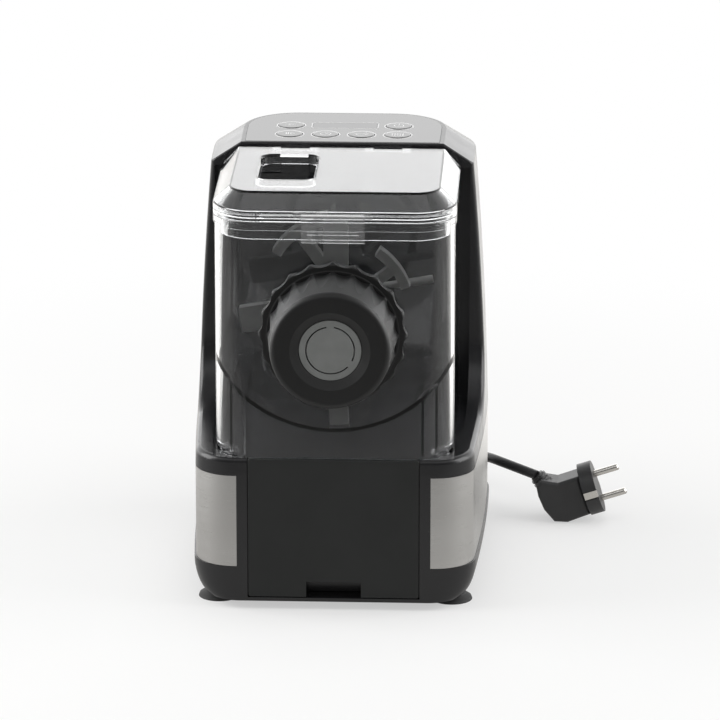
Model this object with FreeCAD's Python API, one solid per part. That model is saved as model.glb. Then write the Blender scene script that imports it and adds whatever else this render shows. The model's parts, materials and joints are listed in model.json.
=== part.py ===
"""Electric pasta maker: a black body with steel sides, a clear mixing chamber, a screw-on die nut and a drawer.

Millimetres. While it is built, x runs to the right, y is the depth behind the base's front face and z is up from
the table. save() moves every piece so that the origin is the middle of the footprint.
"""
import FreeCAD
import Part
import math
import os

V = FreeCAD.Vector

# Body
HALF_WIDTH = 102.5            # widest half width of the base
DEPTH = 250.0                 # base front face to rear face
SIDE_BOW_RADIUS = 2103.0      # gentle bow of the sides, seen from above
FRONT_CORNER = 28.0
REAR_CORNER = 70.0
WALL = 2.6
SKIRT_BOTTOM = 6.0
SKIRT_TOP = 31.0
SKIRT_PROUD = 1.2
STEEL_TOP = 97.0
STEEL_THICKNESS = 1.0
STEEL_GAP = 0.2
STEEL_FRONT_EDGE = 67.0       # half distance between the two panels on the front
TAPER_START = 98.5            # where the sides begin to draw in towards the head
LEDGE_FRONT = 110.0
LEDGE_REAR = 113.0
LEDGE_LENGTH = 92.0
CHEEK_FOOT = 135.9
CHEEK_FOOT_Z = 157.0
HEAD_FRONT = 134.4
TOWER_MID_Z = 200.0
TOWER_MID_INSET = 3.9
HEAD_BASE_Z = 285.0
HEAD_BASE_INSET = 9.8
HEAD_TOP_Z = 299.0
HEAD_TOP_INSET = 31.0
RECESS_INSET = 12.2
RECESS_DEPTH = 150.0
RECESS_TOP = 282.0
DECK_TOP = 109.5
DECK_THICKNESS = 3.5
STUD_RADIUS = 7.0             # the domed studs on the deck that the chamber sits on
STUD_HEIGHT = 5.6
STUD_GAP = 0.4
STUD_X = 72.0
STUD_Y = 21.0
COVER_SPLIT = 184.0           # where the rear cover meets the body frame
EDGE_ROUND = 4.0              # along the ledge and up the cheeks
HEAD_ROUND = 1.5

# Drawer
DRAWER_HALF = 59.0
DRAWER_BOTTOM = 9.0
DRAWER_TOP = 109.1
DRAWER_PLATE = 3.0
TRAY_LENGTH = 109.0
TRAY_WALL = 2.0
TRAY_HEIGHT = 92.0
DRAWER_GAP = 0.6
TRAY_GAP = 0.5
BAY_WALL = 2.0
NOTCH_HALF = 19.0
NOTCH_TOP = 20.5
NOTCH_DEPTH = 14.0

# Feet
FOOT_RADIUS = 14.5
FOOT_X = 81.0
FOOT_FRONT = 29.0
FOOT_REAR = 200.0
FOOT_STEM = 4.0
FOOT_STEM_HEIGHT = 6.0

# Mixing chamber
CHAMBER_HALF = 82.4
CHAMBER_FRONT = 1.5
CHAMBER_REAR = 132.0
CHAMBER_FRONT_CORNER = 27.0
CHAMBER_REAR_CORNER = 10.0
CHAMBER_WALL = 2.6
CHAMBER_TOP = 278.0
COLLAR_HEIGHT = 6.0
COLLAR_PROUD = 1.0
TROUGH_RADIUS = 90.0
TROUGH_CENTRE_Z = 221.0
RIB_THICKNESS = 1.6
RIB_INNER_X = 61.0
RIB_OUTER_X = 70.0
RIB_LENGTH = 62.0

# Drive line
AXIS_Z = 200.5
SHAFT_RADIUS = 6.0
SHAFT_TIP = 108.0
OUTPUT_TEETH = 72
OUTPUT_MODULE = 1.25
IDLER_PINION_TEETH = 12
IDLER_WHEEL_TEETH = 60
MOTOR_PINION_TEETH = 12
FIRST_MODULE = 1.0
MOTOR_AXIS_DROP = 84.0
MOTOR_RADIUS = 31.0
MOTOR_LENGTH = 48.0
GEAR_FACE = 7.0
GEAR_SPACE = 1.5
CASE_WALL = 2.4
AXLE_RADIUS = 3.0
ROTOR_SHAFT_RADIUS = 3.0
RUNNING_GAP = 0.05

# Extrusion
BARREL_OUTER = 32.6
BARREL_INNER = 24.5
BARREL_LENGTH = 39.5          # from the chamber's front face to the barrel's mouth
BARREL_FLANGE = 44.0
BARREL_FLANGE_THICKNESS = 2.5
SCREW_RADIUS = 23.6
SCREW_CORE = 9.0
SCREW_PITCH = 22.0
NUT_OUT = 45.0                # how far the nut's face stands in front of the base
NUT_FLANGE = 50.7
NUT_HUB = 44.5
NUT_FACE = 41.0
NUT_BORE_GAP = 0.4
NUT_REAR_GAP = 0.6
NUT_SCALLOPS = 20
SCALLOP_DEPTH = 2.3
NUT_FLUTES = 20
FLUTE_DEPTH = 1.7
FLUTE_RADIUS = 12.0
FLUTE_START = 9.0             # the first flute's angle from the top, clockwise seen from the front
DIE_RADIUS = 29.0
DIE_WINDOW = 21.4
DIE_FLANGE_THICKNESS = 2.5
DIE_SLIT_RADIUS = 16.4
DIE_SLIT_WIDTH = 0.9
PADDLE_REACH = 69.0
PADDLE_HUB = 12.0

# Lid
LID_TOP = 297.0
LID_BEVEL_Z = 286.0
LID_BEVEL = 11.4
LID_WALL = 2.4
LID_REAR = 132.3
LID_SEAT_GAP = 0.3
LID_ROUND = 1.2
CLEAR_ROUND = 0.6             # small rounds on the clear mouldings' outer edges
SEALING_LIP_BOTTOM = 264.4
LIP_SIDE_GAP = 0.5
LIP_FRONT_GAP = 2.9
LIP_THICKNESS = 2.0
INLET_LEFT = -54.0
INLET_RIGHT = -15.5
INLET_FRONT = 43.5
INLET_REAR = 109.5
INLET_CORNER = 8.0
INLET_RIM = 2.2
INLET_COLLAR = 7.0
HINGE_Y = 129.4
HINGE_Z = 293.2
HINGE_TAB_X = 32.4
HINGE_TAB_WIDTH = 19.4
HINGE_NOTCH_GAP = 0.5
HINGE_PIN_RADIUS = 1.5
LATCH_HALF = 21.6
LATCH_BOTTOM = 264.4
LATCH_Y = -2.0
LATCH_Z = 283.2
LATCH_BARREL = 2.0
LATCH_PLATE = 1.7
LATCH_GAP = 0.7
LATCH_PIN_RADIUS = 0.9
LATCH_LUG_WIDTH = 5.0

# Control panel
PANEL_RIM = 2.8
PANEL_RECESS = 2.0
PANEL_PROUD = 0.2
PANEL_LIP = 3.0
BUTTON_RADIUS = 9.0
BUTTON_GAP = 0.35
BUTTON_PITCH = 25.4
BUTTON_ROW_FRONT = 157.0
BUTTON_ROW_REAR = 181.5
BUTTON_PROUD = 0.5
BUTTON_TRAVEL = 0.8
BUTTON_FLANGE = 11.0
BUTTON_STEM = 3.0
DISPLAY_HALF = 22.7
DISPLAY_FRONT = 175.4
DISPLAY_REAR = 189.4
BOARD_Z = 285.2
BOARD_THICKNESS = 1.6
SWITCH_HEIGHT = 2.2

# Electronics
POWER_BOARD_Z = 20.0
POWER_BOARD_FRONT = 130.0
POWER_BOARD_REAR = 220.0
SCREW_SHANK = 1.5
SCREW_HOLE = 1.7

# Cord and plug
CORD_RADIUS = 3.5
CORD_EXIT_X = -30.0
CORD_EXIT_Z = 40.0
GRIP_LENGTH = 30.0
GRIP_SEAT = 0.7               # the flange's gap to the sloping wall
COIL_X = 8.0
COIL_Y = 306.0
COIL_MEAN_RADIUS = 38.5
COIL_HALF_WIDTH = 7.0
COIL_HEIGHT = 13.1
NECK_X = -39.8                # where the cord enters the plug's neck, in the plug's own side view
NECK_Z = 20.9
PLUG_X = 182.0
PLUG_Y = 205.0
PLUG_Z = 25.6
PLUG_TILT = 18.2              # the pins point this many degrees up
PLUG_HALF_HEIGHT = 19.2
PIN_RADIUS = 2.4
PIN_LENGTH = 19.0
PIN_SPACING = 19.0

BAY_HALF = DRAWER_HALF - 1.4 + TRAY_GAP
MOTOR_Z = AXIS_Z - MOTOR_AXIS_DROP
CASE_FRONT = RECESS_DEPTH + WALL
OUTPUT_LAYER = CASE_FRONT + CASE_WALL + 1.0
FIRST_LAYER = OUTPUT_LAYER + GEAR_FACE + GEAR_SPACE
CASE_REAR = FIRST_LAYER + GEAR_FACE + GEAR_SPACE
COVER_REAR = CASE_REAR + CASE_WALL
FRONT_BUSH = SHAFT_RADIUS + 4.0
SEAL_RADIUS = SHAFT_RADIUS + 5.0
PADDLE_FRONT = CHAMBER_FRONT + CHAMBER_WALL + BARREL_FLANGE_THICKNESS + 1.9
SOCKET_DEPTH = 20.0
ROTOR_CORE = 20.0
FAN_GAP = 3.0
FAN_WIDTH = 7.0
PANEL_Z = HEAD_TOP_Z - PANEL_RECESS
PANEL_TOP = HEAD_TOP_Z + PANEL_PROUD
BOARD_TOP = BOARD_Z + BOARD_THICKNESS
HINGE_EAR_RADIUS = 2.7
BOSS_WIDTH = 6.0
HINGE_SPAN = HINGE_TAB_X + HINGE_TAB_WIDTH / 2 + HINGE_NOTCH_GAP + BOSS_WIDTH
VENT_ROWS = 7
VENT_BOTTOM = 78.0
VENT_PITCH = 8.0
VENT_HEIGHT = 3.2
VENT_LENGTH = 24.0
BAY_REAR = DRAWER_PLATE + TRAY_LENGTH + 4.0
FRAME_ORIGIN_Y = (DEPTH + SKIRT_PROUD - NUT_OUT) / 2


def save(name, shape):
    """Writes one node, moved so that y=0 is the middle of the footprint."""
    moved = shape.copy()
    moved.translate(V(0, -FRAME_ORIGIN_Y, 0))
    moved.exportStep("parts/" + name + ".step")
    print(name, "solids", len(moved.Solids), "volume", round(moved.Volume), "valid", moved.isValid())


def box(x0, x1, y0, y1, z0, z1):
    return Part.makeBox(x1 - x0, y1 - y0, z1 - z0, V(x0, y0, z0))


def rod_y(radius, x, z, y0, y1):
    return Part.makeCylinder(radius, y1 - y0, V(x, y0, z), V(0, 1, 0))


def rod_x(radius, y, z, x0, x1):
    return Part.makeCylinder(radius, x1 - x0, V(x0, y, z), V(1, 0, 0))


def rod_z(radius, x, y, z0, z1):
    return Part.makeCylinder(radius, z1 - z0, V(x, y, z0), V(0, 0, 1))


def mirrored(shape):
    return shape.mirror(V(0, 0, 0), V(1, 0, 0))


def both_sides(shape):
    return shape.fuse(mirrored(shape))


def joined(shapes):
    """One shape out of several that touch."""
    first = shapes[0]
    return first.fuse(shapes[1:]).removeSplitter() if len(shapes) > 1 else first


def polygon_x(points, x0, x1):
    """A prism along X whose profile is given as (y, z) points."""
    wire = Part.makePolygon([V(x0, y, z) for y, z in points + points[:1]])
    return Part.Face(wire).extrude(V(x1 - x0, 0, 0))


def arc_edge(centre, radius, start, end):
    """An arc in a level plane, between two angles in radians."""
    points = [centre + V(math.cos(a), math.sin(a), 0) * radius for a in (start, (start + end) / 2, end)]
    return Part.Arc(*points).toShape()


def body_outline(inset, z, front=None, front_corner=None):
    """The body's plan outline at height z, drawn in by inset: bowed sides and large rear corners."""
    front = inset if front is None else front
    corner = FRONT_CORNER - inset if front_corner is None else front_corner
    widest_y = DEPTH - REAR_CORNER
    bow = SIDE_BOW_RADIUS - inset
    bow_x = HALF_WIDTH - SIDE_BOW_RADIUS
    corner_y = front + corner
    corner_x = bow_x + math.sqrt((bow - corner) ** 2 - (widest_y - corner_y) ** 2)
    tangent = math.atan2(corner_y - widest_y, corner_x - bow_x)
    rear_x = HALF_WIDTH - REAR_CORNER
    rear = REAR_CORNER - inset
    right_angle = math.pi / 2
    right = V(corner_x, corner_y, z)
    left = V(-corner_x, corner_y, z)
    edges = [
        Part.makeLine(V(-corner_x, front, z), V(corner_x, front, z)),
        arc_edge(right, corner, -right_angle, tangent),
        arc_edge(V(bow_x, widest_y, z), bow, tangent, 0),
        arc_edge(V(rear_x, widest_y, z), rear, 0, right_angle),
        Part.makeLine(V(rear_x, DEPTH - inset, z), V(-rear_x, DEPTH - inset, z)),
        arc_edge(V(-rear_x, widest_y, z), rear, right_angle, math.pi),
        arc_edge(V(-bow_x, widest_y, z), bow, math.pi, math.pi - tangent),
        arc_edge(left, corner, math.pi - tangent, 3 * right_angle),
    ]
    return Part.Wire(edges)


def prism(wire, height):
    return Part.Face(wire).extrude(V(0, 0, height))


def body_block(inset):
    """The body's full form from the skirt up, drawn in by inset, before the front is cut away."""
    base = prism(body_outline(inset, SKIRT_TOP), TAPER_START - SKIRT_TOP)
    slope = (HEAD_TOP_Z - HEAD_BASE_Z) / (HEAD_TOP_INSET - HEAD_BASE_INSET)
    lean = inset * math.sqrt(1 + slope ** 2)
    shoulder_z = HEAD_BASE_Z + slope * inset - lean
    shoulder_inset = HEAD_BASE_INSET + inset
    top_z = HEAD_TOP_Z - inset
    top_inset = HEAD_BASE_INSET + (top_z - HEAD_BASE_Z + lean) / slope
    tower = Part.makeLoft([
        body_outline(inset, TAPER_START),
        body_outline(TOWER_MID_INSET + inset, TOWER_MID_Z),
        body_outline(shoulder_inset, shoulder_z),
    ], True, False)
    head = Part.makeLoft([
        body_outline(shoulder_inset, shoulder_z),
        body_outline(top_inset, top_z, HEAD_TOP_INSET, 4.0),
    ], True, True)
    return joined([base, tower, head])


def front_space():
    """What is cut away above the ledge and in front of the cheeks, across the whole width."""
    x0 = -HALF_WIDTH - 20
    sill = V(x0, LEDGE_LENGTH, LEDGE_REAR)
    foot = V(x0, CHEEK_FOOT, CHEEK_FOOT_Z)
    middle = V(x0, LEDGE_LENGTH + 0.72 * (CHEEK_FOOT - LEDGE_LENGTH), LEDGE_REAR + 0.31 * (CHEEK_FOOT_Z - LEDGE_REAR))
    above = HEAD_TOP_Z + 40
    corners = [V(x0, HEAD_FRONT, above), V(x0, -60, above), V(x0, -60, LEDGE_FRONT), V(x0, 0, LEDGE_FRONT)]
    edges = [Part.Arc(sill, middle, foot).toShape(), Part.makeLine(foot, corners[0])]
    edges += [Part.makeLine(a, b) for a, b in zip(corners[:3], corners[1:])]
    edges.append(Part.makeLine(corners[3], sill))
    return Part.Face(Part.Wire(edges)).extrude(V(2 * HALF_WIDTH + 40, 0, 0))


def recess_block(wall):
    """The space behind the chamber, grown by wall."""
    outline = body_outline(RECESS_INSET - wall, DECK_TOP - wall * DECK_THICKNESS / WALL, -30.0, 5.0)
    block = prism(outline, RECESS_TOP - DECK_TOP + wall + wall * DECK_THICKNESS / WALL)
    return block.common(box(-200, 200, -60, RECESS_DEPTH + wall, 0, 400))


def steel_zone(inset, z0, z1):
    """Where the steel side panels lie, as a solid out to the body's face."""
    ring = prism(body_outline(0, z0), z1 - z0).cut(prism(body_outline(inset, z0), z1 - z0))
    return ring.cut([box(-STEEL_FRONT_EDGE, STEEL_FRONT_EDGE, -1, DEPTH / 2, z0, z1),
                     box(-200, 200, COVER_SPLIT, DEPTH + 1, z0, z1)])


def drive_boss(y0, y1, radius):
    return rod_y(radius, 0, AXIS_Z, y0, y1)


def skirt_form(inset):
    """The lower shell's form: full width at its top, rounded in under the sides and the rear."""
    sections = [(SKIRT_TOP, -SKIRT_PROUD), (22.0, -0.5), (14.0, 1.9), (9.0, 4.9), (SKIRT_BOTTOM, 8.5)]
    wires = []
    for z, drawn_in in sections:
        wires.append(body_outline(drawn_in + inset, z + inset, inset, FRONT_CORNER - 0.6 * drawn_in - inset / 2))
    return Part.makeLoft(wires, True, False)


def make_skirt():
    shell = skirt_form(0).cut(skirt_form(WALL))
    opening = DRAWER_HALF + DRAWER_GAP
    floor = SKIRT_BOTTOM + WALL
    shell = shell.cut(box(-opening, opening, -5, DRAWER_PLATE + DRAWER_GAP, floor, SKIRT_TOP + 1))
    inside = skirt_form(WALL / 2)
    rails = box(BAY_HALF, BAY_HALF + BAY_WALL, DRAWER_PLATE + DRAWER_GAP, BAY_REAR + BAY_WALL, floor - 0.5, SKIRT_TOP)
    additions = [rails.common(inside), mirrored(rails.common(inside))]
    for x, y in foot_places():
        additions.append(rod_z(FOOT_STEM + 5, x, y, SKIRT_BOTTOM, SKIRT_BOTTOM + FOOT_STEM_HEIGHT + 3).common(skirt_form(0)))
    for x, y in board_posts():
        additions.append(rod_z(3.2, x, y, floor - 0.5, POWER_BOARD_Z))
    shell = joined([shell] + additions)
    bores = [rod_z(FOOT_STEM, x, y, SKIRT_BOTTOM - 1, SKIRT_BOTTOM + FOOT_STEM_HEIGHT) for x, y in foot_places()]
    bores += [rod_z(SCREW_HOLE, x, y, SKIRT_BOTTOM - 1, floor + 3) for x, y in screw_places()]
    return shell.cut(bores)


def board_posts():
    return [(sign * 38.0, y) for y in (POWER_BOARD_FRONT + 5, POWER_BOARD_REAR - 5) for sign in (-1, 1)]


def screw_places():
    return [(sign * x, y) for x, y in ((66.0, 74.0), (58.0, 152.0)) for sign in (-1, 1)]


def foot_places():
    return [(sign * FOOT_X * (1.0 if y < DEPTH / 2 else 0.86), y) for y in (FOOT_FRONT, FOOT_REAR) for sign in (-1, 1)]


def make_feet():
    """Flared rubber suction feet, each with a stem that is pushed up into the lower shell."""
    feet = []
    stem_top = SKIRT_BOTTOM + FOOT_STEM_HEIGHT
    for x, y in foot_places():
        profile = [(0, 2.2), (7.0, 2.0), (FOOT_RADIUS - 1.2, 0), (FOOT_RADIUS, 0), (FOOT_RADIUS - 0.6, 1.8), (10.0, 4.4),
                   (9.0, SKIRT_BOTTOM), (FOOT_STEM, SKIRT_BOTTOM), (FOOT_STEM, stem_top), (0, stem_top)]
        feet.append(turned_z(profile, x, y))
    return Part.makeCompound(feet)


def turned_z(profile, x, y):
    """A solid turned about an upright axis, from (radius, z) points."""
    wire = Part.makePolygon([V(x + r, y, z) for r, z in profile + profile[:1]])
    return Part.Face(wire).revolve(V(x, y, 0), V(0, 0, 1), 360)


def turned_y(profile):
    """A solid turned about the drive axis, from (radius, y) points."""
    wire = Part.makePolygon([V(r, y, AXIS_Z) for r, y in profile + profile[:1]])
    return Part.Face(wire).revolve(V(0, 0, AXIS_Z), V(0, 1, 0), 360)


def make_body():
    """The whole upper body as one thin shell; the frame, the rear cover and the head cover are cut from it."""
    form = rounded_form(body_block(0).cut(front_space()))
    behind = front_space()
    behind.translate(V(0, WALL, -WALL))
    hollow = body_block(WALL).cut([behind, recess_block(WALL)])
    body = form.cut([hollow, recess_block(0)])
    return body.cut(steel_zone(STEEL_THICKNESS + STEEL_GAP, SKIRT_TOP, STEEL_TOP))


def rounded_form(form):
    """Rounds the ledge's and the cheeks' outer edge, and the head's edges."""
    sides = []
    head = []
    for edge in form.Edges:
        bounds = edge.BoundBox
        outside = min(abs(bounds.XMin), abs(bounds.XMax)) > HALF_WIDTH - FRONT_CORNER - 8
        behind = bounds.YMax > CHEEK_FOOT + 1
        if bounds.ZMin > LEDGE_FRONT - 0.1 and bounds.ZMax < HEAD_BASE_Z + 0.1 and outside and not behind:
            sides.append(edge)
        elif bounds.ZMin > HEAD_TOP_Z - 0.1:
            head.append(edge)
        elif bounds.ZMin > HEAD_BASE_Z - 0.1 and bounds.YMax < CHEEK_FOOT + 1:
            head.append(edge)
        elif bounds.ZMin > HEAD_BASE_Z - 0.1 and bounds.ZMax < HEAD_BASE_Z + 0.1:
            head.append(edge)
    rounded = form.makeFillet(EDGE_ROUND, sides)
    return rounded.makeFillet(HEAD_ROUND, same_edges(rounded, head))


def same_edges(shape, wanted):
    """The edges of shape that lie where the wanted ones do."""
    found = []
    for edge in shape.Edges:
        middle = edge.valueAt((edge.FirstParameter + edge.LastParameter) / 2)
        for other in wanted:
            if abs(other.Length - edge.Length) < 6 and other.distToShape(Part.Vertex(middle))[0] < 0.01:
                found.append(edge)
                break
    return found


def make_frame(body):
    frame = body.common(box(-200, 200, -10, COVER_SPLIT, SKIRT_TOP, HEAD_BASE_Z))
    deck_bottom = DECK_TOP - DECK_THICKNESS
    bay = box(-BAY_HALF - 3, BAY_HALF + 3, WALL / 2, BAY_REAR + BAY_WALL, SKIRT_TOP, deck_bottom + 0.5)
    bay = bay.cut(box(-BAY_HALF, BAY_HALF, -5, BAY_REAR, SKIRT_TOP - 1, deck_bottom))
    additions = [bay, drive_boss(CHAMBER_REAR + 1.5, RECESS_DEPTH + 1, 24.0)]
    for x, y in stud_places():
        dome = Part.makeSphere(STUD_RADIUS, V(x, y, DECK_TOP + STUD_HEIGHT - STUD_RADIUS))
        additions.append(dome.common(rod_z(STUD_RADIUS, x, y, DECK_TOP - 1, DECK_TOP + STUD_HEIGHT + 1)))
    for x, y in screw_places():
        additions.append(rod_z(4.0, x, y, SKIRT_BOTTOM, deck_bottom + 0.5).common(screw_zone()))
    frame = joined([frame] + additions)
    opening = DRAWER_HALF + DRAWER_GAP
    holes = [box(-opening, opening, -5, DRAWER_PLATE + DRAWER_GAP, SKIRT_TOP - 1, DRAWER_TOP + 0.4)]
    holes.append(rod_y(FRONT_BUSH, 0, AXIS_Z, CHAMBER_REAR, CASE_FRONT + 1))
    holes += [rod_z(SCREW_SHANK, x, y, 0, SKIRT_BOTTOM + 16) for x, y in screw_places()]
    return frame.cut(holes)


def screw_zone():
    """Where the frame's screw posts may run: inside the lower shell's hollow and above it."""
    return skirt_form(WALL).fuse(box(-200, 200, 0, DEPTH, SKIRT_TOP, DECK_TOP))


def stud_places():
    return [(-STUD_X, STUD_Y), (STUD_X, STUD_Y)]


def make_side_panel():
    panels = steel_zone(STEEL_THICKNESS, SKIRT_TOP + 0.2, STEEL_TOP - 0.2)
    panels = panels.common(box(-200, 200, -1, COVER_SPLIT - 0.2, 0, 400))
    return sorted(panels.Solids, key=lambda solid: solid.CenterOfMass.x)


def make_rear_cover(body):
    cover = body.common(box(-200, 200, COVER_SPLIT, DEPTH + 1, SKIRT_TOP, HEAD_BASE_Z))
    cuts = [rod_y(CORD_RADIUS + 4.5, CORD_EXIT_X, CORD_EXIT_Z, DEPTH - 2 * WALL, DEPTH + 1)]
    for row in range(VENT_ROWS):
        z = VENT_BOTTOM + row * VENT_PITCH
        for x in (-VENT_LENGTH / 2 - 3, 3 - VENT_LENGTH / 2 + VENT_LENGTH):
            cuts.append(box(x - VENT_LENGTH / 2, x + VENT_LENGTH / 2, DEPTH - 12, DEPTH + 1, z, z + VENT_HEIGHT))
    return cover.cut(cuts)


def make_head_cover(body):
    cover = body.common(box(-200, 200, 0, DEPTH, HEAD_BASE_Z, HEAD_TOP_Z))
    outer = HEAD_TOP_INSET + PANEL_RIM
    ring_front = HEAD_FRONT + PANEL_RIM - 0.8
    ring = panel_shape(outer - 1.5, PANEL_Z - 2.6, PANEL_Z, ring_front)
    ring = ring.cut(panel_shape(outer + PANEL_LIP, PANEL_Z - 3, PANEL_Z + 1, ring_front + PANEL_LIP))
    posts = [rod_z(3.0, x, y, BOARD_TOP, PANEL_Z - 0.5) for x, y in head_posts()]
    cover = joined([cover, ring] + posts)
    pocket = panel_shape(outer, PANEL_Z, HEAD_TOP_Z + 2, HEAD_FRONT + PANEL_RIM)
    through = panel_shape(outer + PANEL_LIP, PANEL_Z - 8, HEAD_TOP_Z + 2, HEAD_FRONT + PANEL_RIM + PANEL_LIP)
    for x, y in head_posts():
        through = through.cut(rod_z(3.0, x, y, 0, PANEL_Z))
    return cover.cut([pocket, through])


def head_posts():
    x = HALF_WIDTH - HEAD_TOP_INSET - PANEL_RIM - 2.2
    return [(-x, HEAD_FRONT + 12.0), (x, HEAD_FRONT + 12.0), (-x, 196.0), (x, 196.0)]


def panel_shape(inset, z0, z1, front):
    """The control panel's plan shape between two heights, starting at the given depth."""
    shape = prism(body_outline(inset, z0, 40.0, 4.0), z1 - z0)
    return shape.common(box(-200, 200, front, DEPTH, z0, z1))


def button_places():
    places = [((column - 1.5) * BUTTON_PITCH, BUTTON_ROW_FRONT) for column in range(4)]
    return places + [(-1.5 * BUTTON_PITCH, BUTTON_ROW_REAR), (1.5 * BUTTON_PITCH, BUTTON_ROW_REAR)]


def make_control_panel():
    outer = HEAD_TOP_INSET + PANEL_RIM
    panel = panel_shape(outer + 0.2, PANEL_Z, PANEL_TOP, HEAD_FRONT + PANEL_RIM + 0.2)
    cuts = [rod_z(BUTTON_RADIUS + BUTTON_GAP, x, y, PANEL_Z - 1, PANEL_TOP + 1) for x, y in button_places()]
    cuts.append(box(-DISPLAY_HALF, DISPLAY_HALF, DISPLAY_FRONT, DISPLAY_REAR, PANEL_Z - 1, PANEL_TOP + 1))
    return panel.cut(cuts)


def make_button(x, y):
    crown = PANEL_TOP + BUTTON_PROUD
    flange_top = PANEL_Z - 0.3
    stem_bottom = BOARD_TOP + SWITCH_HEIGHT + BUTTON_TRAVEL + 0.1
    profile = [(0, stem_bottom), (BUTTON_STEM, stem_bottom), (BUTTON_STEM, flange_top - 1.2)]
    profile += [(BUTTON_FLANGE, flange_top - 1.2), (BUTTON_FLANGE, flange_top), (BUTTON_RADIUS, flange_top)]
    profile += [(BUTTON_RADIUS, crown - 0.6), (BUTTON_RADIUS - 0.2, crown - 0.25), (BUTTON_RADIUS - 0.7, crown - 0.05)]
    profile += [(BUTTON_RADIUS - 1.4, crown), (0, crown)]
    return turned_z(profile, x, y)


def make_display_window():
    window = box(-DISPLAY_HALF + 0.1, DISPLAY_HALF - 0.1, DISPLAY_FRONT + 0.1, DISPLAY_REAR - 0.1, PANEL_Z - 0.8,
                 PANEL_TOP)
    return window.fuse(box(-DISPLAY_HALF - 2, DISPLAY_HALF + 2, DISPLAY_FRONT - 2, DISPLAY_REAR + 2, PANEL_Z - 0.8,
                           PANEL_Z)).removeSplitter()


def make_control_board():
    x = head_posts()[1][0] + 3
    return box(-x, x, HEAD_FRONT + 8, 201.0, BOARD_Z, BOARD_TOP)


def make_switches():
    switches = []
    for x, y in button_places():
        base = box(x - 3, x + 3, y - 3, y + 3, BOARD_TOP, BOARD_TOP + SWITCH_HEIGHT - 0.8)
        switches.append(base.fuse(rod_z(1.7, x, y, BOARD_TOP, BOARD_TOP + SWITCH_HEIGHT)).removeSplitter())
    return Part.makeCompound(switches)


def make_display_module():
    return box(-DISPLAY_HALF, DISPLAY_HALF, DISPLAY_FRONT - 1, DISPLAY_REAR + 1, BOARD_TOP, PANEL_Z - 0.8)


def make_power_board():
    """The supply board behind the drawer, with its main components soldered on."""
    top = POWER_BOARD_Z + 1.6
    board = box(-44, 44, POWER_BOARD_FRONT, POWER_BOARD_REAR, POWER_BOARD_Z, top)
    pieces = [board, rod_z(9, -26, 152, top, top + 26), rod_z(5, -8, 146, top, top + 16), rod_z(5, 4, 146, top, top + 16)]
    pieces += [box(14, 36, 140, 160, top, top + 18), box(-36, -14, 180, 206, top, top + 22)]
    pieces += [box(6, 34, 178, 182, top, top + 30), box(0, 34, 196, 210, top, top + 14)]
    return joined(pieces)


def plan_rectangle(half, front, rear, front_corner, rear_corner, z):
    """A rounded rectangle in a level plane, always with eight edges."""
    quarter = math.pi / 2
    edges = [Part.makeLine(V(-half + front_corner, front, z), V(half - front_corner, front, z)),
             arc_edge(V(half - front_corner, front + front_corner, z), front_corner, -quarter, 0),
             Part.makeLine(V(half, front + front_corner, z), V(half, rear - rear_corner, z)),
             arc_edge(V(half - rear_corner, rear - rear_corner, z), rear_corner, 0, quarter),
             Part.makeLine(V(half - rear_corner, rear, z), V(-half + rear_corner, rear, z)),
             arc_edge(V(-half + rear_corner, rear - rear_corner, z), rear_corner, quarter, 2 * quarter),
             Part.makeLine(V(-half, rear - rear_corner, z), V(-half, front + front_corner, z)),
             arc_edge(V(-half + front_corner, front + front_corner, z), front_corner, 2 * quarter, 3 * quarter)]
    return Part.Wire(edges)


def chamber_prism(inset, z0, z1):
    return prism(plan_rectangle(CHAMBER_HALF - inset, CHAMBER_FRONT + inset, CHAMBER_REAR - inset,
                                CHAMBER_FRONT_CORNER - inset, CHAMBER_REAR_CORNER - inset, z0), z1 - z0)


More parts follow.
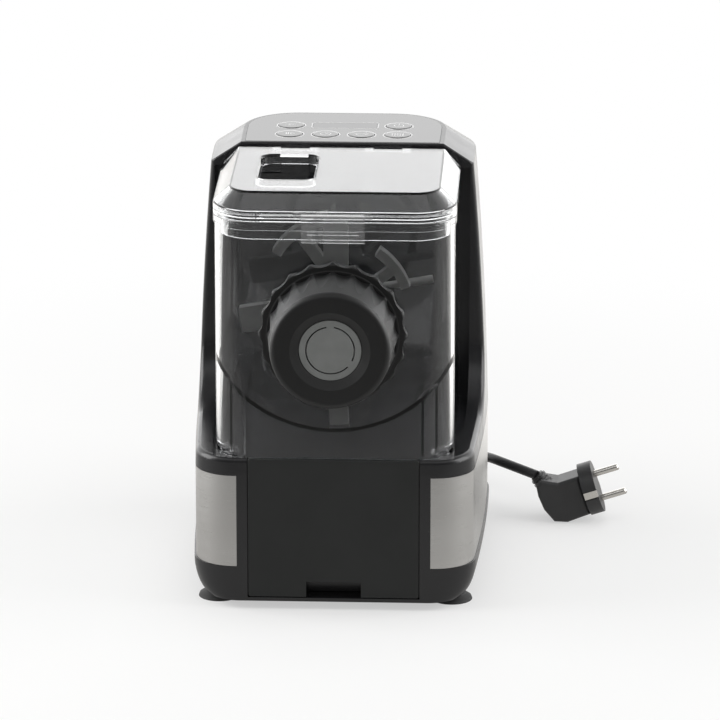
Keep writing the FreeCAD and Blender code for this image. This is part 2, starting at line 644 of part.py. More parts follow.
def make_chamber():
    """The clear mixing chamber: a tub whose trough floor is an arc, open underneath, with ribs below the floor."""
    outer = chamber_prism(0, DECK_TOP, CHAMBER_TOP)
    collar = prism(plan_rectangle(CHAMBER_HALF + COLLAR_PROUD, CHAMBER_FRONT - COLLAR_PROUD, CHAMBER_REAR,
                                  CHAMBER_FRONT_CORNER + COLLAR_PROUD, CHAMBER_REAR_CORNER,
                                  CHAMBER_TOP - COLLAR_HEIGHT), COLLAR_HEIGHT)
    trough = rod_y(TROUGH_RADIUS, 0, TROUGH_CENTRE_Z, 0, DEPTH)
    trough_outside = rod_y(TROUGH_RADIUS + CHAMBER_WALL, 0, TROUGH_CENTRE_Z, 0, DEPTH)
    upper = box(-200, 200, 0, DEPTH, TROUGH_CENTRE_Z, 400)
    cavity = chamber_prism(CHAMBER_WALL, DECK_TOP - 1, CHAMBER_TOP + 1)
    above = cavity.common(trough.fuse(upper))
    below = cavity.cut([trough_outside, upper])
    ribs = []
    for x in (-RIB_OUTER_X, -RIB_INNER_X, RIB_INNER_X, RIB_OUTER_X):
        rib = box(x - RIB_THICKNESS / 2, x + RIB_THICKNESS / 2, CHAMBER_FRONT, CHAMBER_FRONT + RIB_LENGTH,
                  DECK_TOP + 2, TROUGH_CENTRE_Z)
        ribs.append(rib.common(below))
    outer = outer.makeFillet(CLEAR_ROUND, level_edges(outer, DECK_TOP))
    rims = level_edges(collar, CHAMBER_TOP - COLLAR_HEIGHT) + level_edges(collar, CHAMBER_TOP)
    collar = collar.makeFillet(CLEAR_ROUND, rims)
    chamber = joined([outer, collar])
    chamber = chamber.cut([above, below])
    ears = [make_ear(side) for side in (-1, 1)]
    chamber = joined([chamber] + ribs + ears)
    holes = [rod_y(BARREL_OUTER + 0.3, 0, AXIS_Z, CHAMBER_FRONT - 1, CHAMBER_FRONT + CHAMBER_WALL + 1)]
    holes.append(rod_y(SEAL_RADIUS, 0, AXIS_Z, CHAMBER_REAR - CHAMBER_WALL - 1, CHAMBER_REAR + 1))
    holes.append(rod_x(HINGE_PIN_RADIUS + RUNNING_GAP, HINGE_Y, HINGE_Z, -80, 80))
    for x, y in stud_places():
        holes.append(rod_z(STUD_RADIUS + 1, x, y, DECK_TOP - 1, DECK_TOP + STUD_HEIGHT + STUD_GAP))
    return chamber.cut(holes)


def level_edges(shape, z):
    """The edges that lie at one height."""
    return [edge for edge in shape.Edges if abs(edge.BoundBox.ZMin - z) < 0.01 and abs(edge.BoundBox.ZMax - z) < 0.01]


def make_ear(side):
    """One of the two tabs that stand up from the chamber's rear wall and carry the lid's hinge pins."""
    radius = HINGE_EAR_RADIUS
    x0 = side * HINGE_TAB_X - HINGE_TAB_WIDTH / 2
    stem = box(x0, x0 + HINGE_TAB_WIDTH, HINGE_Y - radius, HINGE_Y + radius, CHAMBER_TOP - 6, HINGE_Z)
    return stem.fuse(rod_x(radius, HINGE_Y, HINGE_Z, x0, x0 + HINGE_TAB_WIDTH)).removeSplitter()


def make_barrel():
    mouth = CHAMBER_FRONT - BARREL_LENGTH
    seat = CHAMBER_FRONT + CHAMBER_WALL
    profile = [(BARREL_INNER, mouth), (BARREL_OUTER, mouth), (BARREL_OUTER, seat), (BARREL_FLANGE, seat),
               (BARREL_FLANGE, seat + BARREL_FLANGE_THICKNESS), (BARREL_INNER, seat + BARREL_FLANGE_THICKNESS)]
    return turned_y(profile)


def make_nut():
    """The nut: a scalloped flange at the rear and a hub that closes over the die, leaving a round window."""
    bore = BARREL_OUTER + NUT_BORE_GAP
    rear = CHAMBER_FRONT - NUT_REAR_GAP
    lip = CHAMBER_FRONT - BARREL_LENGTH - DIE_FLANGE_THICKNESS - 0.3
    cove = NUT_HUB + 0.1
    pieces = [
        [(bore, lip), (bore, rear), (NUT_FLANGE - 0.8, rear)],
        ((NUT_FLANGE - 0.8, rear), (NUT_FLANGE - 0.25, rear - 0.25), (NUT_FLANGE, rear - 0.8)),
        [(NUT_FLANGE, rear - 0.8), (NUT_FLANGE, -3.6)],
        ((NUT_FLANGE, -3.6), (NUT_FLANGE - 0.5, -4.9), (NUT_FLANGE - 1.8, -5.6)),
        [(NUT_FLANGE - 1.8, -5.6), (cove + 1.4, -5.6)],
        ((cove + 1.4, -5.6), (cove + 0.41, -6.01), (cove, -7.0)),
        [(cove, -7.0), (NUT_FACE + 0.1, 4.5 - NUT_OUT)],
        ((NUT_FACE + 0.1, 4.5 - NUT_OUT), (NUT_FACE - 1.1, 1.3 - NUT_OUT), (NUT_FACE - 3.9, -NUT_OUT)),
        [(NUT_FACE - 3.9, -NUT_OUT), (DIE_WINDOW + 6.0, -NUT_OUT), (DIE_WINDOW + 1.0, lip - 1.3), (DIE_WINDOW, lip - 0.6),
         (DIE_WINDOW, lip), (bore, lip)]]
    nut = turned_outline(pieces)
    cut_radius = 15.0
    reach = NUT_FLANGE - SCALLOP_DEPTH + cut_radius
    cutters = []
    for index in range(NUT_SCALLOPS):
        angle = 2 * math.pi * (index + 0.5) / NUT_SCALLOPS
        cutters.append(rod_y(cut_radius, reach * math.sin(angle), AXIS_Z + reach * math.cos(angle), -18.0, 2.0))
    deep = NUT_HUB - FLUTE_DEPTH + FLUTE_RADIUS
    shallow = NUT_FACE + FLUTE_RADIUS + 0.6
    for index in range(NUT_FLUTES):
        angle = math.radians(FLUTE_START + 360.0 * index / NUT_FLUTES)
        outward = V(math.sin(angle), 0, math.cos(angle))
        start = outward * deep + V(0, -6.2, AXIS_Z)
        end = outward * shallow + V(0, 1.0 - NUT_OUT, AXIS_Z)
        cutters.append(Part.makeCylinder(FLUTE_RADIUS, (end - start).Length, start, end - start))
    return nut.cut(cutters)


def turned_outline(pieces):
    """A solid turned about the drive axis, from runs of (radius, y) points and arcs of three such points."""
    edges = []
    for piece in pieces:
        points = [V(r, y, AXIS_Z) for r, y in piece]
        if isinstance(piece, tuple):
            edges.append(Part.Arc(*points).toShape())
        else:
            edges += [Part.makeLine(a, b) for a, b in zip(points, points[1:])]
    return Part.Face(Part.Wire(edges)).revolve(V(0, 0, AXIS_Z), V(0, 1, 0), 360)


def make_die():
    """The shaping die: a stepped disc with a ring-shaped slot held by two bridges."""
    mouth = CHAMBER_FRONT - BARREL_LENGTH
    front = mouth - DIE_FLANGE_THICKNESS
    profile = [(0, mouth), (DIE_RADIUS, mouth), (DIE_RADIUS, front), (DIE_WINDOW - 0.35, front),
               (DIE_WINDOW - 0.35, front - 1.3), (0, front - 1.3)]
    die = turned_y(profile)
    outer = rod_y(DIE_SLIT_RADIUS + DIE_SLIT_WIDTH / 2, 0, AXIS_Z, front - 3, mouth + 1)
    ring = outer.cut(rod_y(DIE_SLIT_RADIUS - DIE_SLIT_WIDTH / 2, 0, AXIS_Z, front - 4, mouth + 2))
    for angle in (90.0, -35.0):
        bridge = box(0, DIE_RADIUS, front - 4, mouth + 2, -2.5, 2.5)
        bridge.rotate(V(0, 0, 0), V(0, 1, 0), -angle)
        bridge.translate(V(0, 0, AXIS_Z))
        ring = ring.cut(bridge)
    return die.cut(ring)


def make_screw():
    """The extruder screw: a core with one steep flight, and a spigot that plugs into the paddle's hub."""
    start = CHAMBER_FRONT - BARREL_LENGTH + 1.5
    end = CHAMBER_FRONT + CHAMBER_WALL + BARREL_FLANGE_THICKNESS
    core = rod_y(SCREW_CORE, 0, AXIS_Z, start, PADDLE_FRONT)
    spigot = rod_y(SHAFT_RADIUS, 0, AXIS_Z, PADDLE_FRONT - 1, PADDLE_FRONT + SOCKET_DEPTH)
    steps_per_turn = 18
    steps = int((end - start - 3) / SCREW_PITCH * steps_per_turn)
    wires = []
    for step in range(steps + 1):
        y = start + step * SCREW_PITCH / steps_per_turn
        section = [V(SCREW_CORE - 2, y, 0), V(SCREW_RADIUS, y, 0), V(SCREW_RADIUS, y + 2.4, 0), V(SCREW_CORE - 2, y + 3.6, 0)]
        wire = Part.makePolygon(section + section[:1])
        wire.rotate(V(0, 0, 0), V(0, 1, 0), step * 360.0 / steps_per_turn)
        wire.translate(V(0, 0, AXIS_Z))
        wires.append(wire)
    flight = Part.makeLoft(wires, True, True)
    return joined([core, spigot, flight])


def paddle_arm(angle, y, width, thickness, inner=0.0, reach=None):
    """A flat arm out from the hub at an angle above the right-hand side, rounded by the sweep circle."""
    reach = PADDLE_REACH if reach is None else reach
    arm = box(inner, reach + 2, y - thickness / 2, y + thickness / 2, -width / 2, width / 2)
    arm.rotate(V(0, 0, 0), V(0, 1, 0), -angle)
    arm.translate(V(0, 0, AXIS_Z))
    return arm.common(rod_y(reach, 0, AXIS_Z, 0, DEPTH))


def paddle_blade(inner, outer, start, end, y0, y1):
    """A blade that follows the sweep circle between two angles."""
    points = [V(0, 0, 0)]
    for index in range(9):
        angle = math.radians(start + (end - start) * index / 8)
        points.append(V(math.cos(angle), 0, math.sin(angle)) * 120)
    wedge = Part.Face(Part.makePolygon([p + V(0, y0, AXIS_Z) for p in points + points[:1]])).extrude(V(0, y1 - y0, 0))
    ring = rod_y(outer, 0, AXIS_Z, y0, y1).cut(rod_y(inner, 0, AXIS_Z, y0 - 1, y1 + 1))
    return ring.common(wedge)


def make_paddle():
    """The kneading paddle: a long hub with arms at different depths, a round bar and two curved blades."""
    hub_rear = CHAMBER_REAR - CHAMBER_WALL - 1.4
    hub = rod_y(PADDLE_HUB, 0, AXIS_Z, PADDLE_FRONT, hub_rear)
    pieces = [hub]
    pieces.append(paddle_arm(-87, PADDLE_FRONT + 6, 13.0, 8.0))
    pieces.append(paddle_arm(90, 42, 17.0, 8.0))
    pieces.append(paddle_arm(189.6, 70, 18.0, 8.0))
    rod = Part.makeCylinder(2.8, PADDLE_REACH - 2, V(0, 98, AXIS_Z), V(math.cos(0.17), 0, math.sin(0.17)))
    pieces.append(rod)
    pieces.append(paddle_arm(37, 60, 7.0, 8.0, 0.0, 51.0))
    pieces.append(paddle_blade(47.0, 53.5, 19.0, 56.0, 55.0, 65.0))
    pieces.append(paddle_arm(125, 110, 8.0, 9.0, 0.0, 52.0))
    pieces.append(paddle_blade(48.0, 55.0, 100.0, 150.0, 104.0, 117.0))
    paddle = joined(pieces)
    front_socket = rod_y(SHAFT_RADIUS, 0, AXIS_Z, PADDLE_FRONT - 1, PADDLE_FRONT + SOCKET_DEPTH)
    return paddle.cut([front_socket, hexagon(SHAFT_TIP, hub_rear + 1)])


def hexagon(y0, y1):
    points = [V(math.cos(k * math.pi / 3), 0, math.sin(k * math.pi / 3)) * (SHAFT_RADIUS - 0.2) for k in range(6)]
    return Part.Face(Part.makePolygon([p + V(0, y0, AXIS_Z) for p in points + points[:1]])).extrude(V(0, y1 - y0, 0))


def make_output_shaft():
    """The driven shaft: round where it runs in its bushings and seal, six-sided where the paddle slips on."""
    hub_rear = CHAMBER_REAR - CHAMBER_WALL - 1.4
    return hexagon(SHAFT_TIP, hub_rear + 1).fuse(rod_y(SHAFT_RADIUS, 0, AXIS_Z, hub_rear, COVER_REAR)).removeSplitter()


def make_seal():
    profile = [(SHAFT_RADIUS + RUNNING_GAP, CHAMBER_REAR - CHAMBER_WALL), (SEAL_RADIUS, CHAMBER_REAR - CHAMBER_WALL),
               (SEAL_RADIUS, CHAMBER_REAR), (SEAL_RADIUS + 2, CHAMBER_REAR), (SEAL_RADIUS + 2, CHAMBER_REAR + 1.2),
               (SHAFT_RADIUS + RUNNING_GAP, CHAMBER_REAR + 1.2)]
    return turned_y(profile)


def ring_y(inner, outer, y0, y1):
    return turned_y([(inner, y0), (outer, y0), (outer, y1), (inner, y1)])


def make_bushings():
    bore = SHAFT_RADIUS + RUNNING_GAP
    return Part.makeCompound([ring_y(bore, FRONT_BUSH, RECESS_DEPTH - 6, CASE_FRONT + CASE_WALL),
                              ring_y(bore, FRONT_BUSH, CASE_REAR, COVER_REAR)])


def gear(teeth, module, x, z, y0, y1, phase, bore):
    """A spur gear about a line along Y. phase is the angle, above the right-hand side, of one tooth's middle."""
    pitch_radius = teeth * module / 2
    step = 2 * math.pi / teeth
    outline = []
    profile = [(-0.5, pitch_radius - 1.2 * module), (-0.31, pitch_radius - 1.2 * module), (-0.215, pitch_radius),
               (-0.12, pitch_radius + 0.8 * module), (0.12, pitch_radius + 0.8 * module), (0.215, pitch_radius),
               (0.31, pitch_radius - 1.2 * module)]
    for index in range(teeth):
        for share, radius in profile:
            angle = phase + step * (index + share)
            outline.append(V(x + radius * math.cos(angle), y0, z + radius * math.sin(angle)))
    blank = Part.Face(Part.makePolygon(outline + outline[:1])).extrude(V(0, y1 - y0, 0))
    return blank.cut(rod_y(bore, x, z, y0 - 1, y1 + 1))


def idler_place():
    """The idler's centre: where both pairs of gears mesh."""
    near = (IDLER_WHEEL_TEETH + MOTOR_PINION_TEETH) * FIRST_MODULE / 2
    far = (OUTPUT_TEETH + IDLER_PINION_TEETH) * OUTPUT_MODULE / 2
    rise = (MOTOR_AXIS_DROP ** 2 + near ** 2 - far ** 2) / (2 * MOTOR_AXIS_DROP)
    return math.sqrt(near ** 2 - rise ** 2), MOTOR_Z + rise


def make_output_gear():
    x, z = idler_place()
    toward = math.atan2(z - AXIS_Z, x)
    wheel = gear(OUTPUT_TEETH, OUTPUT_MODULE, 0, AXIS_Z, OUTPUT_LAYER, OUTPUT_LAYER + GEAR_FACE, toward, SHAFT_RADIUS)
    holes = []
    for index in range(6):
        angle = math.radians(30 + 60 * index)
        holes.append(rod_y(9.0, 26 * math.cos(angle), AXIS_Z + 26 * math.sin(angle), OUTPUT_LAYER - 1,
                           OUTPUT_LAYER + GEAR_FACE + 1))
    return wheel.cut(holes)


def make_idler():
    x, z = idler_place()
    back = math.atan2(AXIS_Z - z, -x)
    pinion = gear(IDLER_PINION_TEETH, OUTPUT_MODULE, x, z, OUTPUT_LAYER, FIRST_LAYER, back + math.pi / IDLER_PINION_TEETH,
                  AXLE_RADIUS + RUNNING_GAP)
    toward = math.atan2(MOTOR_Z - z, -x)
    wheel = gear(IDLER_WHEEL_TEETH, FIRST_MODULE, x, z, FIRST_LAYER, FIRST_LAYER + GEAR_FACE, toward,
                 AXLE_RADIUS + RUNNING_GAP)
    return pinion.fuse(wheel).removeSplitter()


def make_motor_pinion():
    x, z = idler_place()
    back = math.atan2(z - MOTOR_Z, x) + math.pi / MOTOR_PINION_TEETH
    return gear(MOTOR_PINION_TEETH, FIRST_MODULE, 0, MOTOR_Z, FIRST_LAYER, FIRST_LAYER + GEAR_FACE, back,
                ROTOR_SHAFT_RADIUS)


def case_space():
    """The gearbox's inner space: left, right, bottom and top, with a gap round the gears."""
    x, z = idler_place()
    output_tip = OUTPUT_TEETH * OUTPUT_MODULE / 2 + OUTPUT_MODULE + GEAR_SPACE
    wheel_tip = IDLER_WHEEL_TEETH * FIRST_MODULE / 2 + FIRST_MODULE + GEAR_SPACE
    motor_tip = MOTOR_PINION_TEETH * FIRST_MODULE / 2 + FIRST_MODULE + GEAR_SPACE
    side = max(output_tip, x + wheel_tip)
    return side, MOTOR_Z - motor_tip - 4, AXIS_Z + output_tip


def make_case():
    side, bottom, top = case_space()
    wall = CASE_WALL
    case = box(-side - wall, side + wall, CASE_FRONT, CASE_REAR, bottom - wall, top + wall)
    case = case.cut(box(-side, side, CASE_FRONT + wall, CASE_REAR + 1, bottom, top))
    x, z = idler_place()
    boss = rod_y(AXLE_RADIUS + 2.5, x, z, CASE_FRONT + 1, OUTPUT_LAYER - 0.5)
    case = joined([case, boss])
    return case.cut([rod_y(FRONT_BUSH, 0, AXIS_Z, CASE_FRONT - 1, CASE_FRONT + wall + 1),
                     rod_y(AXLE_RADIUS, x, z, CASE_FRONT + 1.2, CASE_REAR)])


def make_case_cover():
    side, bottom, top = case_space()
    wall = CASE_WALL
    cover = box(-side - wall, side + wall, CASE_REAR, COVER_REAR, bottom - wall, top + wall)
    x, z = idler_place()
    return cover.cut([rod_y(FRONT_BUSH, 0, AXIS_Z, CASE_REAR - 1, COVER_REAR + 1),
                      rod_y(AXLE_RADIUS, x, z, CASE_REAR - 1, COVER_REAR + 1),
                      rod_y(ROTOR_SHAFT_RADIUS + 1.0, 0, MOTOR_Z, CASE_REAR - 1, COVER_REAR + 1)])


def make_axle():
    x, z = idler_place()
    return rod_y(AXLE_RADIUS, x, z, CASE_FRONT + 1.2, COVER_REAR)


def make_motor_can():
    front = COVER_REAR
    rear = front + MOTOR_LENGTH
    bore = ROTOR_SHAFT_RADIUS + RUNNING_GAP
    wall = 2.0
    can = turned_y([(bore, front), (MOTOR_RADIUS, front), (MOTOR_RADIUS, rear), (bore, rear), (bore, rear - 4),
                    (10.0, rear - 4), (10.0, rear - wall), (MOTOR_RADIUS - wall, rear - wall),
                    (MOTOR_RADIUS - wall, front + wall), (10.0, front + wall), (10.0, front + 4), (bore, front + 4)])
    can.translate(V(0, 0, MOTOR_Z - AXIS_Z))
    slots = []
    for index in range(6):
        angle = math.radians(60 * index)
        slots.append(rod_y(3.4, 21 * math.cos(angle), MOTOR_Z + 21 * math.sin(angle), rear - wall - 1, rear + 1))
    return can.cut(slots)


def make_stator():
    ring = ring_y(ROTOR_CORE + 0.8, MOTOR_RADIUS - 2.0, COVER_REAR + 10, COVER_REAR + MOTOR_LENGTH - 10)
    ring.translate(V(0, 0, MOTOR_Z - AXIS_Z))
    return ring


def make_rotor():
    rear = COVER_REAR + MOTOR_LENGTH
    profile = [(0, FIRST_LAYER - 1.5), (ROTOR_SHAFT_RADIUS, FIRST_LAYER - 1.5), (ROTOR_SHAFT_RADIUS, COVER_REAR + 12),
               (ROTOR_CORE, COVER_REAR + 12), (ROTOR_CORE, rear - 12), (ROTOR_SHAFT_RADIUS, rear - 12),
               (ROTOR_SHAFT_RADIUS, rear + FAN_GAP + FAN_WIDTH), (0, rear + FAN_GAP + FAN_WIDTH)]
    rotor = turned_y(profile)
    rotor.translate(V(0, 0, MOTOR_Z - AXIS_Z))
    return rotor


def make_fan():
    """The cooling fan on the motor's rear end: a hub, a thin disc and curved-in blades."""
    front = COVER_REAR + MOTOR_LENGTH + FAN_GAP
    rear = front + FAN_WIDTH
    pieces = [rod_y(7.0, 0, MOTOR_Z, front, rear), rod_y(MOTOR_RADIUS - 4, 0, MOTOR_Z, front, front + 1.4)]
    for index in range(9):
        blade = box(5.0, MOTOR_RADIUS - 4, front + 0.5, rear, -0.7, 0.7)
        blade.rotate(V(0, 0, 0), V(0, 1, 0), 40 * index)
        blade.translate(V(0, 0, MOTOR_Z))
        pieces.append(blade)
    return joined(pieces).cut(rod_y(ROTOR_SHAFT_RADIUS, 0, MOTOR_Z, front - 1, rear + 1))


def make_lid():
    """The clear lid: bevelled on three sides, with a water inlet, a sealing lip and bosses for the hinge pins."""
    half = CHAMBER_HALF + COLLAR_PROUD
    front = CHAMBER_FRONT - COLLAR_PROUD
    bottom = CHAMBER_TOP + LID_SEAT_GAP
    corner = CHAMBER_FRONT_CORNER + COLLAR_PROUD
    slope = (LID_TOP - LID_BEVEL_Z) / LID_BEVEL
    lean = LID_WALL * math.sqrt(1 + slope ** 2)

    def section(inset, z):
        return plan_rectangle(half - inset, front + inset, LID_REAR, corner - inset, 9.0 - 0.5 * inset, z)

    outer = joined([prism(section(0, bottom), LID_BEVEL_Z - bottom),
                    Part.makeLoft([section(0, LID_BEVEL_Z), section(LID_BEVEL, LID_TOP)], True, True)])
    outer = outer.makeFillet(LID_ROUND, level_edges(outer, LID_TOP))
    inner_shoulder = LID_BEVEL_Z + slope * LID_WALL - lean
    inner_top = LID_TOP - LID_WALL
    inner_inset = (inner_top - LID_BEVEL_Z + lean) / slope
    inner = joined([prism(section(LID_WALL, bottom - 1), inner_shoulder - bottom + 1),
                    Part.makeLoft([section(LID_WALL, inner_shoulder), section(inner_inset, inner_top)], True, True)])
    inner = inner.common(box(-200, 200, 0, LID_REAR - LID_WALL, 0, 400))
    lid = outer.cut(inner)
    lip_half = CHAMBER_HALF - CHAMBER_WALL - LIP_SIDE_GAP
    lip_front = CHAMBER_FRONT + CHAMBER_WALL + LIP_FRONT_GAP
    lip_corner = CHAMBER_FRONT_CORNER - 1.0
    lip_top = CHAMBER_TOP + 4.0
    outer_lip = prism(plan_rectangle(lip_half, lip_front, LID_REAR, lip_corner, 2.0, SEALING_LIP_BOTTOM),
                      lip_top - SEALING_LIP_BOTTOM)
    inner_lip = prism(plan_rectangle(lip_half - LIP_THICKNESS, lip_front + LIP_THICKNESS, LID_REAR - 1,
                                     lip_corner - LIP_THICKNESS, 1.0, SEALING_LIP_BOTTOM - 1),
                      lip_top - SEALING_LIP_BOTTOM + 2)
    lip = outer_lip.cut([inner_lip, box(-200, 200, HINGE_Y - 14, DEPTH, 0, 400)])
    shelf = prism(section(1.0, lip_top - 2.0), 2.0).cut(
        [prism(plan_rectangle(lip_half - LIP_THICKNESS, lip_front + LIP_THICKNESS, LID_REAR - 1,
                              lip_corner - LIP_THICKNESS, 1.0, lip_top - 3), 4.0),
         box(-200, 200, HINGE_Y - 14, DEPTH, 0, 400)])
    collar = inlet_shape(INLET_RIM, LID_TOP - INLET_COLLAR, LID_TOP - LID_WALL / 2)
    bosses = []
    for x0, x1 in boss_spans():
        bosses.append(rod_x(HINGE_EAR_RADIUS, HINGE_Y, HINGE_Z, x0, x1))
        bosses.append(box(x0, x1, HINGE_Y - HINGE_EAR_RADIUS, HINGE_Y + HINGE_EAR_RADIUS, HINGE_Z, LID_TOP - 1))
    lugs = []
    for x0, x1 in lug_spans():
        lug = box(x0, x1, LATCH_Y, front + 0.5, LATCH_Z - LATCH_BARREL, LATCH_Z + LATCH_BARREL)
        lugs.append(lug.fuse(rod_x(LATCH_BARREL, LATCH_Y, LATCH_Z, x0, x1)))
    lid = joined([lid, lip, shelf, collar] + bosses + lugs)
    half_notch = HINGE_TAB_WIDTH / 2 + HINGE_NOTCH_GAP
    cuts = [inlet_shape(0, LID_TOP - INLET_COLLAR - 1, LID_TOP + 1), inlet_chamfer()]
    for side in (-1, 1):
        x = side * HINGE_TAB_X
        cuts.append(box(x - half_notch, x + half_notch, HINGE_Y - HINGE_EAR_RADIUS - 0.5, DEPTH, 0, 400))
    cuts.append(rod_x(HINGE_PIN_RADIUS, HINGE_Y, HINGE_Z, -HINGE_SPAN, HINGE_SPAN))
    cuts.append(rod_x(LATCH_PIN_RADIUS, LATCH_Y, LATCH_Z, -100, 100))
    cuts.append(box(-200, 200, LID_REAR - LID_WALL - 2, DEPTH, 0, CHAMBER_TOP + 0.8))
    return lid.cut(cuts)


def inlet_shape(grow, z0, z1):
    wire = plan_rectangle((INLET_RIGHT - INLET_LEFT) / 2 + grow, INLET_FRONT - grow, INLET_REAR + grow,
                          INLET_CORNER + grow, INLET_CORNER + grow, z0)
    shape = prism(wire, z1 - z0)
    shape.translate(V((INLET_LEFT + INLET_RIGHT) / 2, 0, 0))
    return shape


def inlet_chamfer():
    depth = 1.2
    wires = []
    for grow, z in ((0, LID_TOP - depth), (depth + 0.2, LID_TOP + 0.2)):
        wires.append(plan_rectangle((INLET_RIGHT - INLET_LEFT) / 2 + grow, INLET_FRONT - grow, INLET_REAR + grow,
                                    INLET_CORNER + grow, INLET_CORNER + grow, z))
    shape = Part.makeLoft(wires, True, True)
    shape.translate(V((INLET_LEFT + INLET_RIGHT) / 2, 0, 0))
    return shape


def boss_spans():
    near = HINGE_TAB_X - HINGE_TAB_WIDTH / 2 - HINGE_NOTCH_GAP
    far = HINGE_TAB_X + HINGE_TAB_WIDTH / 2 + HINGE_NOTCH_GAP
    right = [(near - BOSS_WIDTH, near), (far, far + BOSS_WIDTH)]
    return right + [(-b, -a) for a, b in right]


def lug_spans():
    inner = LATCH_HALF + 0.4
    return [(inner, inner + LATCH_LUG_WIDTH), (-inner - LATCH_LUG_WIDTH, -inner)]


def make_hinge_pins():
    near = HINGE_TAB_X - HINGE_TAB_WIDTH / 2 - HINGE_NOTCH_GAP - BOSS_WIDTH
    pin = rod_x(HINGE_PIN_RADIUS, HINGE_Y, HINGE_Z, near, HINGE_SPAN)
    return Part.makeCompound([pin, mirrored(pin)])


def make_latch():
    """The latch: a clear plate on a pin, with a catch that hooks under the chamber's collar."""
    rear = CHAMBER_FRONT - COLLAR_PROUD - LATCH_GAP
    plate = box(-LATCH_HALF, LATCH_HALF, rear - LATCH_PLATE, rear, LATCH_BOTTOM, LATCH_Z)
    barrel = rod_x(LATCH_BARREL, LATCH_Y, LATCH_Z, -LATCH_HALF, LATCH_HALF)
    catch_top = CHAMBER_TOP - COLLAR_HEIGHT - 0.3
    catch = box(-LATCH_HALF + 4, LATCH_HALF - 4, rear - 0.5, CHAMBER_FRONT - 0.3, catch_top - 2.0, catch_top)
    latch = joined([plate, barrel, catch])
    return latch.cut(rod_x(LATCH_PIN_RADIUS + RUNNING_GAP, LATCH_Y, LATCH_Z, -LATCH_HALF - 1, LATCH_HALF + 1))


def make_latch_pin():
    reach = lug_spans()[0][1]
    return rod_x(LATCH_PIN_RADIUS, LATCH_Y, LATCH_Z, -reach, reach)


def make_drawer_front():
    plate = box(-DRAWER_HALF, DRAWER_HALF, 0, DRAWER_PLATE, DRAWER_BOTTOM, DRAWER_TOP)
    corners = [edge for edge in plate.Edges if abs(edge.BoundBox.XLength) < 0.1 and abs(edge.BoundBox.ZLength) < 0.1]
    plate = plate.makeFillet(1.5, corners)
    plate = plate.makeFillet(0.7, [edge for edge in plate.Edges if edge.BoundBox.YMax < 0.1])
    return plate.cut(box(-NOTCH_HALF, NOTCH_HALF, -1, DRAWER_PLATE + 1, DRAWER_BOTTOM - 1, NOTCH_TOP))


def make_drawer_tray():
    """The drawer's tray, with a pocket for the fingers behind the notch in the front plate."""
    half = BAY_HALF - TRAY_GAP
    rear = DRAWER_PLATE + TRAY_LENGTH
    top = DRAWER_BOTTOM + TRAY_HEIGHT
    tray = box(-half, half, DRAWER_PLATE, rear, DRAWER_BOTTOM, top)
    wall = TRAY_WALL
    tray = tray.cut(box(-half + wall, half - wall, DRAWER_PLATE + wall, rear - wall, DRAWER_BOTTOM + wall, top + 1))
    pocket = box(-NOTCH_HALF - wall, NOTCH_HALF + wall, DRAWER_PLATE, NOTCH_DEPTH + wall, DRAWER_BOTTOM, NOTCH_TOP + wall)
    tray = joined([tray, pocket])
    return tray.cut(box(-NOTCH_HALF, NOTCH_HALF, DRAWER_PLATE - 1, NOTCH_DEPTH, DRAWER_BOTTOM - 1, NOTCH_TOP))


def make_screws():
    """Four pan-head screws up through the lower shell into the frame's posts."""
    screws = []
    for x, y in screw_places():
        profile = [(0, SKIRT_BOTTOM - 1.8), (2.2, SKIRT_BOTTOM - 1.8), (3.4, SKIRT_BOTTOM - 1.0), (3.4, SKIRT_BOTTOM),
                   (SCREW_SHANK, SKIRT_BOTTOM), (SCREW_SHANK, SKIRT_BOTTOM + 14), (0, SKIRT_BOTTOM + 15.5)]
        screw = turned_z(profile, x, y)
        slot = box(x - 1.6, x + 1.6, y - 0.4, y + 0.4, SKIRT_BOTTOM - 3, SKIRT_BOTTOM - 0.9)
        cross = box(x - 0.4, x + 0.4, y - 1.6, y + 1.6, SKIRT_BOTTOM - 3, SKIRT_BOTTOM - 0.9)
        screws.append(screw.cut([slot, cross]))
    return Part.makeCompound(screws)


def make_grip():
    """The strain relief: a tapered rubber sleeve with grooves, seated in the rear cover's hole."""
    wall_front = DEPTH - WALL - GRIP_SEAT
    end = DEPTH + GRIP_LENGTH
    outer = CORD_RADIUS + 4.5
    profile = [(0, wall_front - 3), (outer + 3, wall_front - 3), (outer + 3, wall_front), (outer, wall_front),
               (outer, DEPTH + 1.5)]
    rings = 5
    for index in range(rings):
        y = DEPTH + 1.5 + index * (GRIP_LENGTH - 5) / rings
        radius = outer - 1.4 - index * 0.35
        profile += [(radius - 1.2, y), (radius - 1.2, y + 2.2), (radius, y + 2.2), (radius, y + 5.0)]
    profile += [(CORD_RADIUS + 0.9, end), (0, end)]
    grip = turned_y(profile)
    grip.translate(V(CORD_EXIT_X, 0, CORD_EXIT_Z - AXIS_Z))
    return grip


def rounded_path(points):
    """Straight runs joined by arcs that touch both, so that the tube's section stays the same along it."""
    edges = []
    start = points[0]
    for before, corner, after in zip(points, points[1:], points[2:]):
        into = corner - before
        out = after - corner
        turn = into.getAngle(out)
        length = 0.45 * min(into.Length, out.Length)
        into = into / into.Length
        out = out / out.Length
        first = corner - into * length
        last = corner + out * length
        edges.append(Part.LineSegment(start, first).toShape())
        edges.append(Part.Arc(first, arc_middle(corner, into, out, length, turn), last).toShape())
        start = last
    edges.append(Part.LineSegment(start, points[-1]).toShape())
    return Part.Wire(edges)


def arc_middle(corner, into, out, length, turn):
    """The middle point of the arc that rounds a corner."""
    inward = out - into
    inward = inward / inward.Length
    radius = length / math.tan(turn / 2)
    to_centre = radius / math.cos(turn / 2)
    return corner + inward * (to_centre - radius)


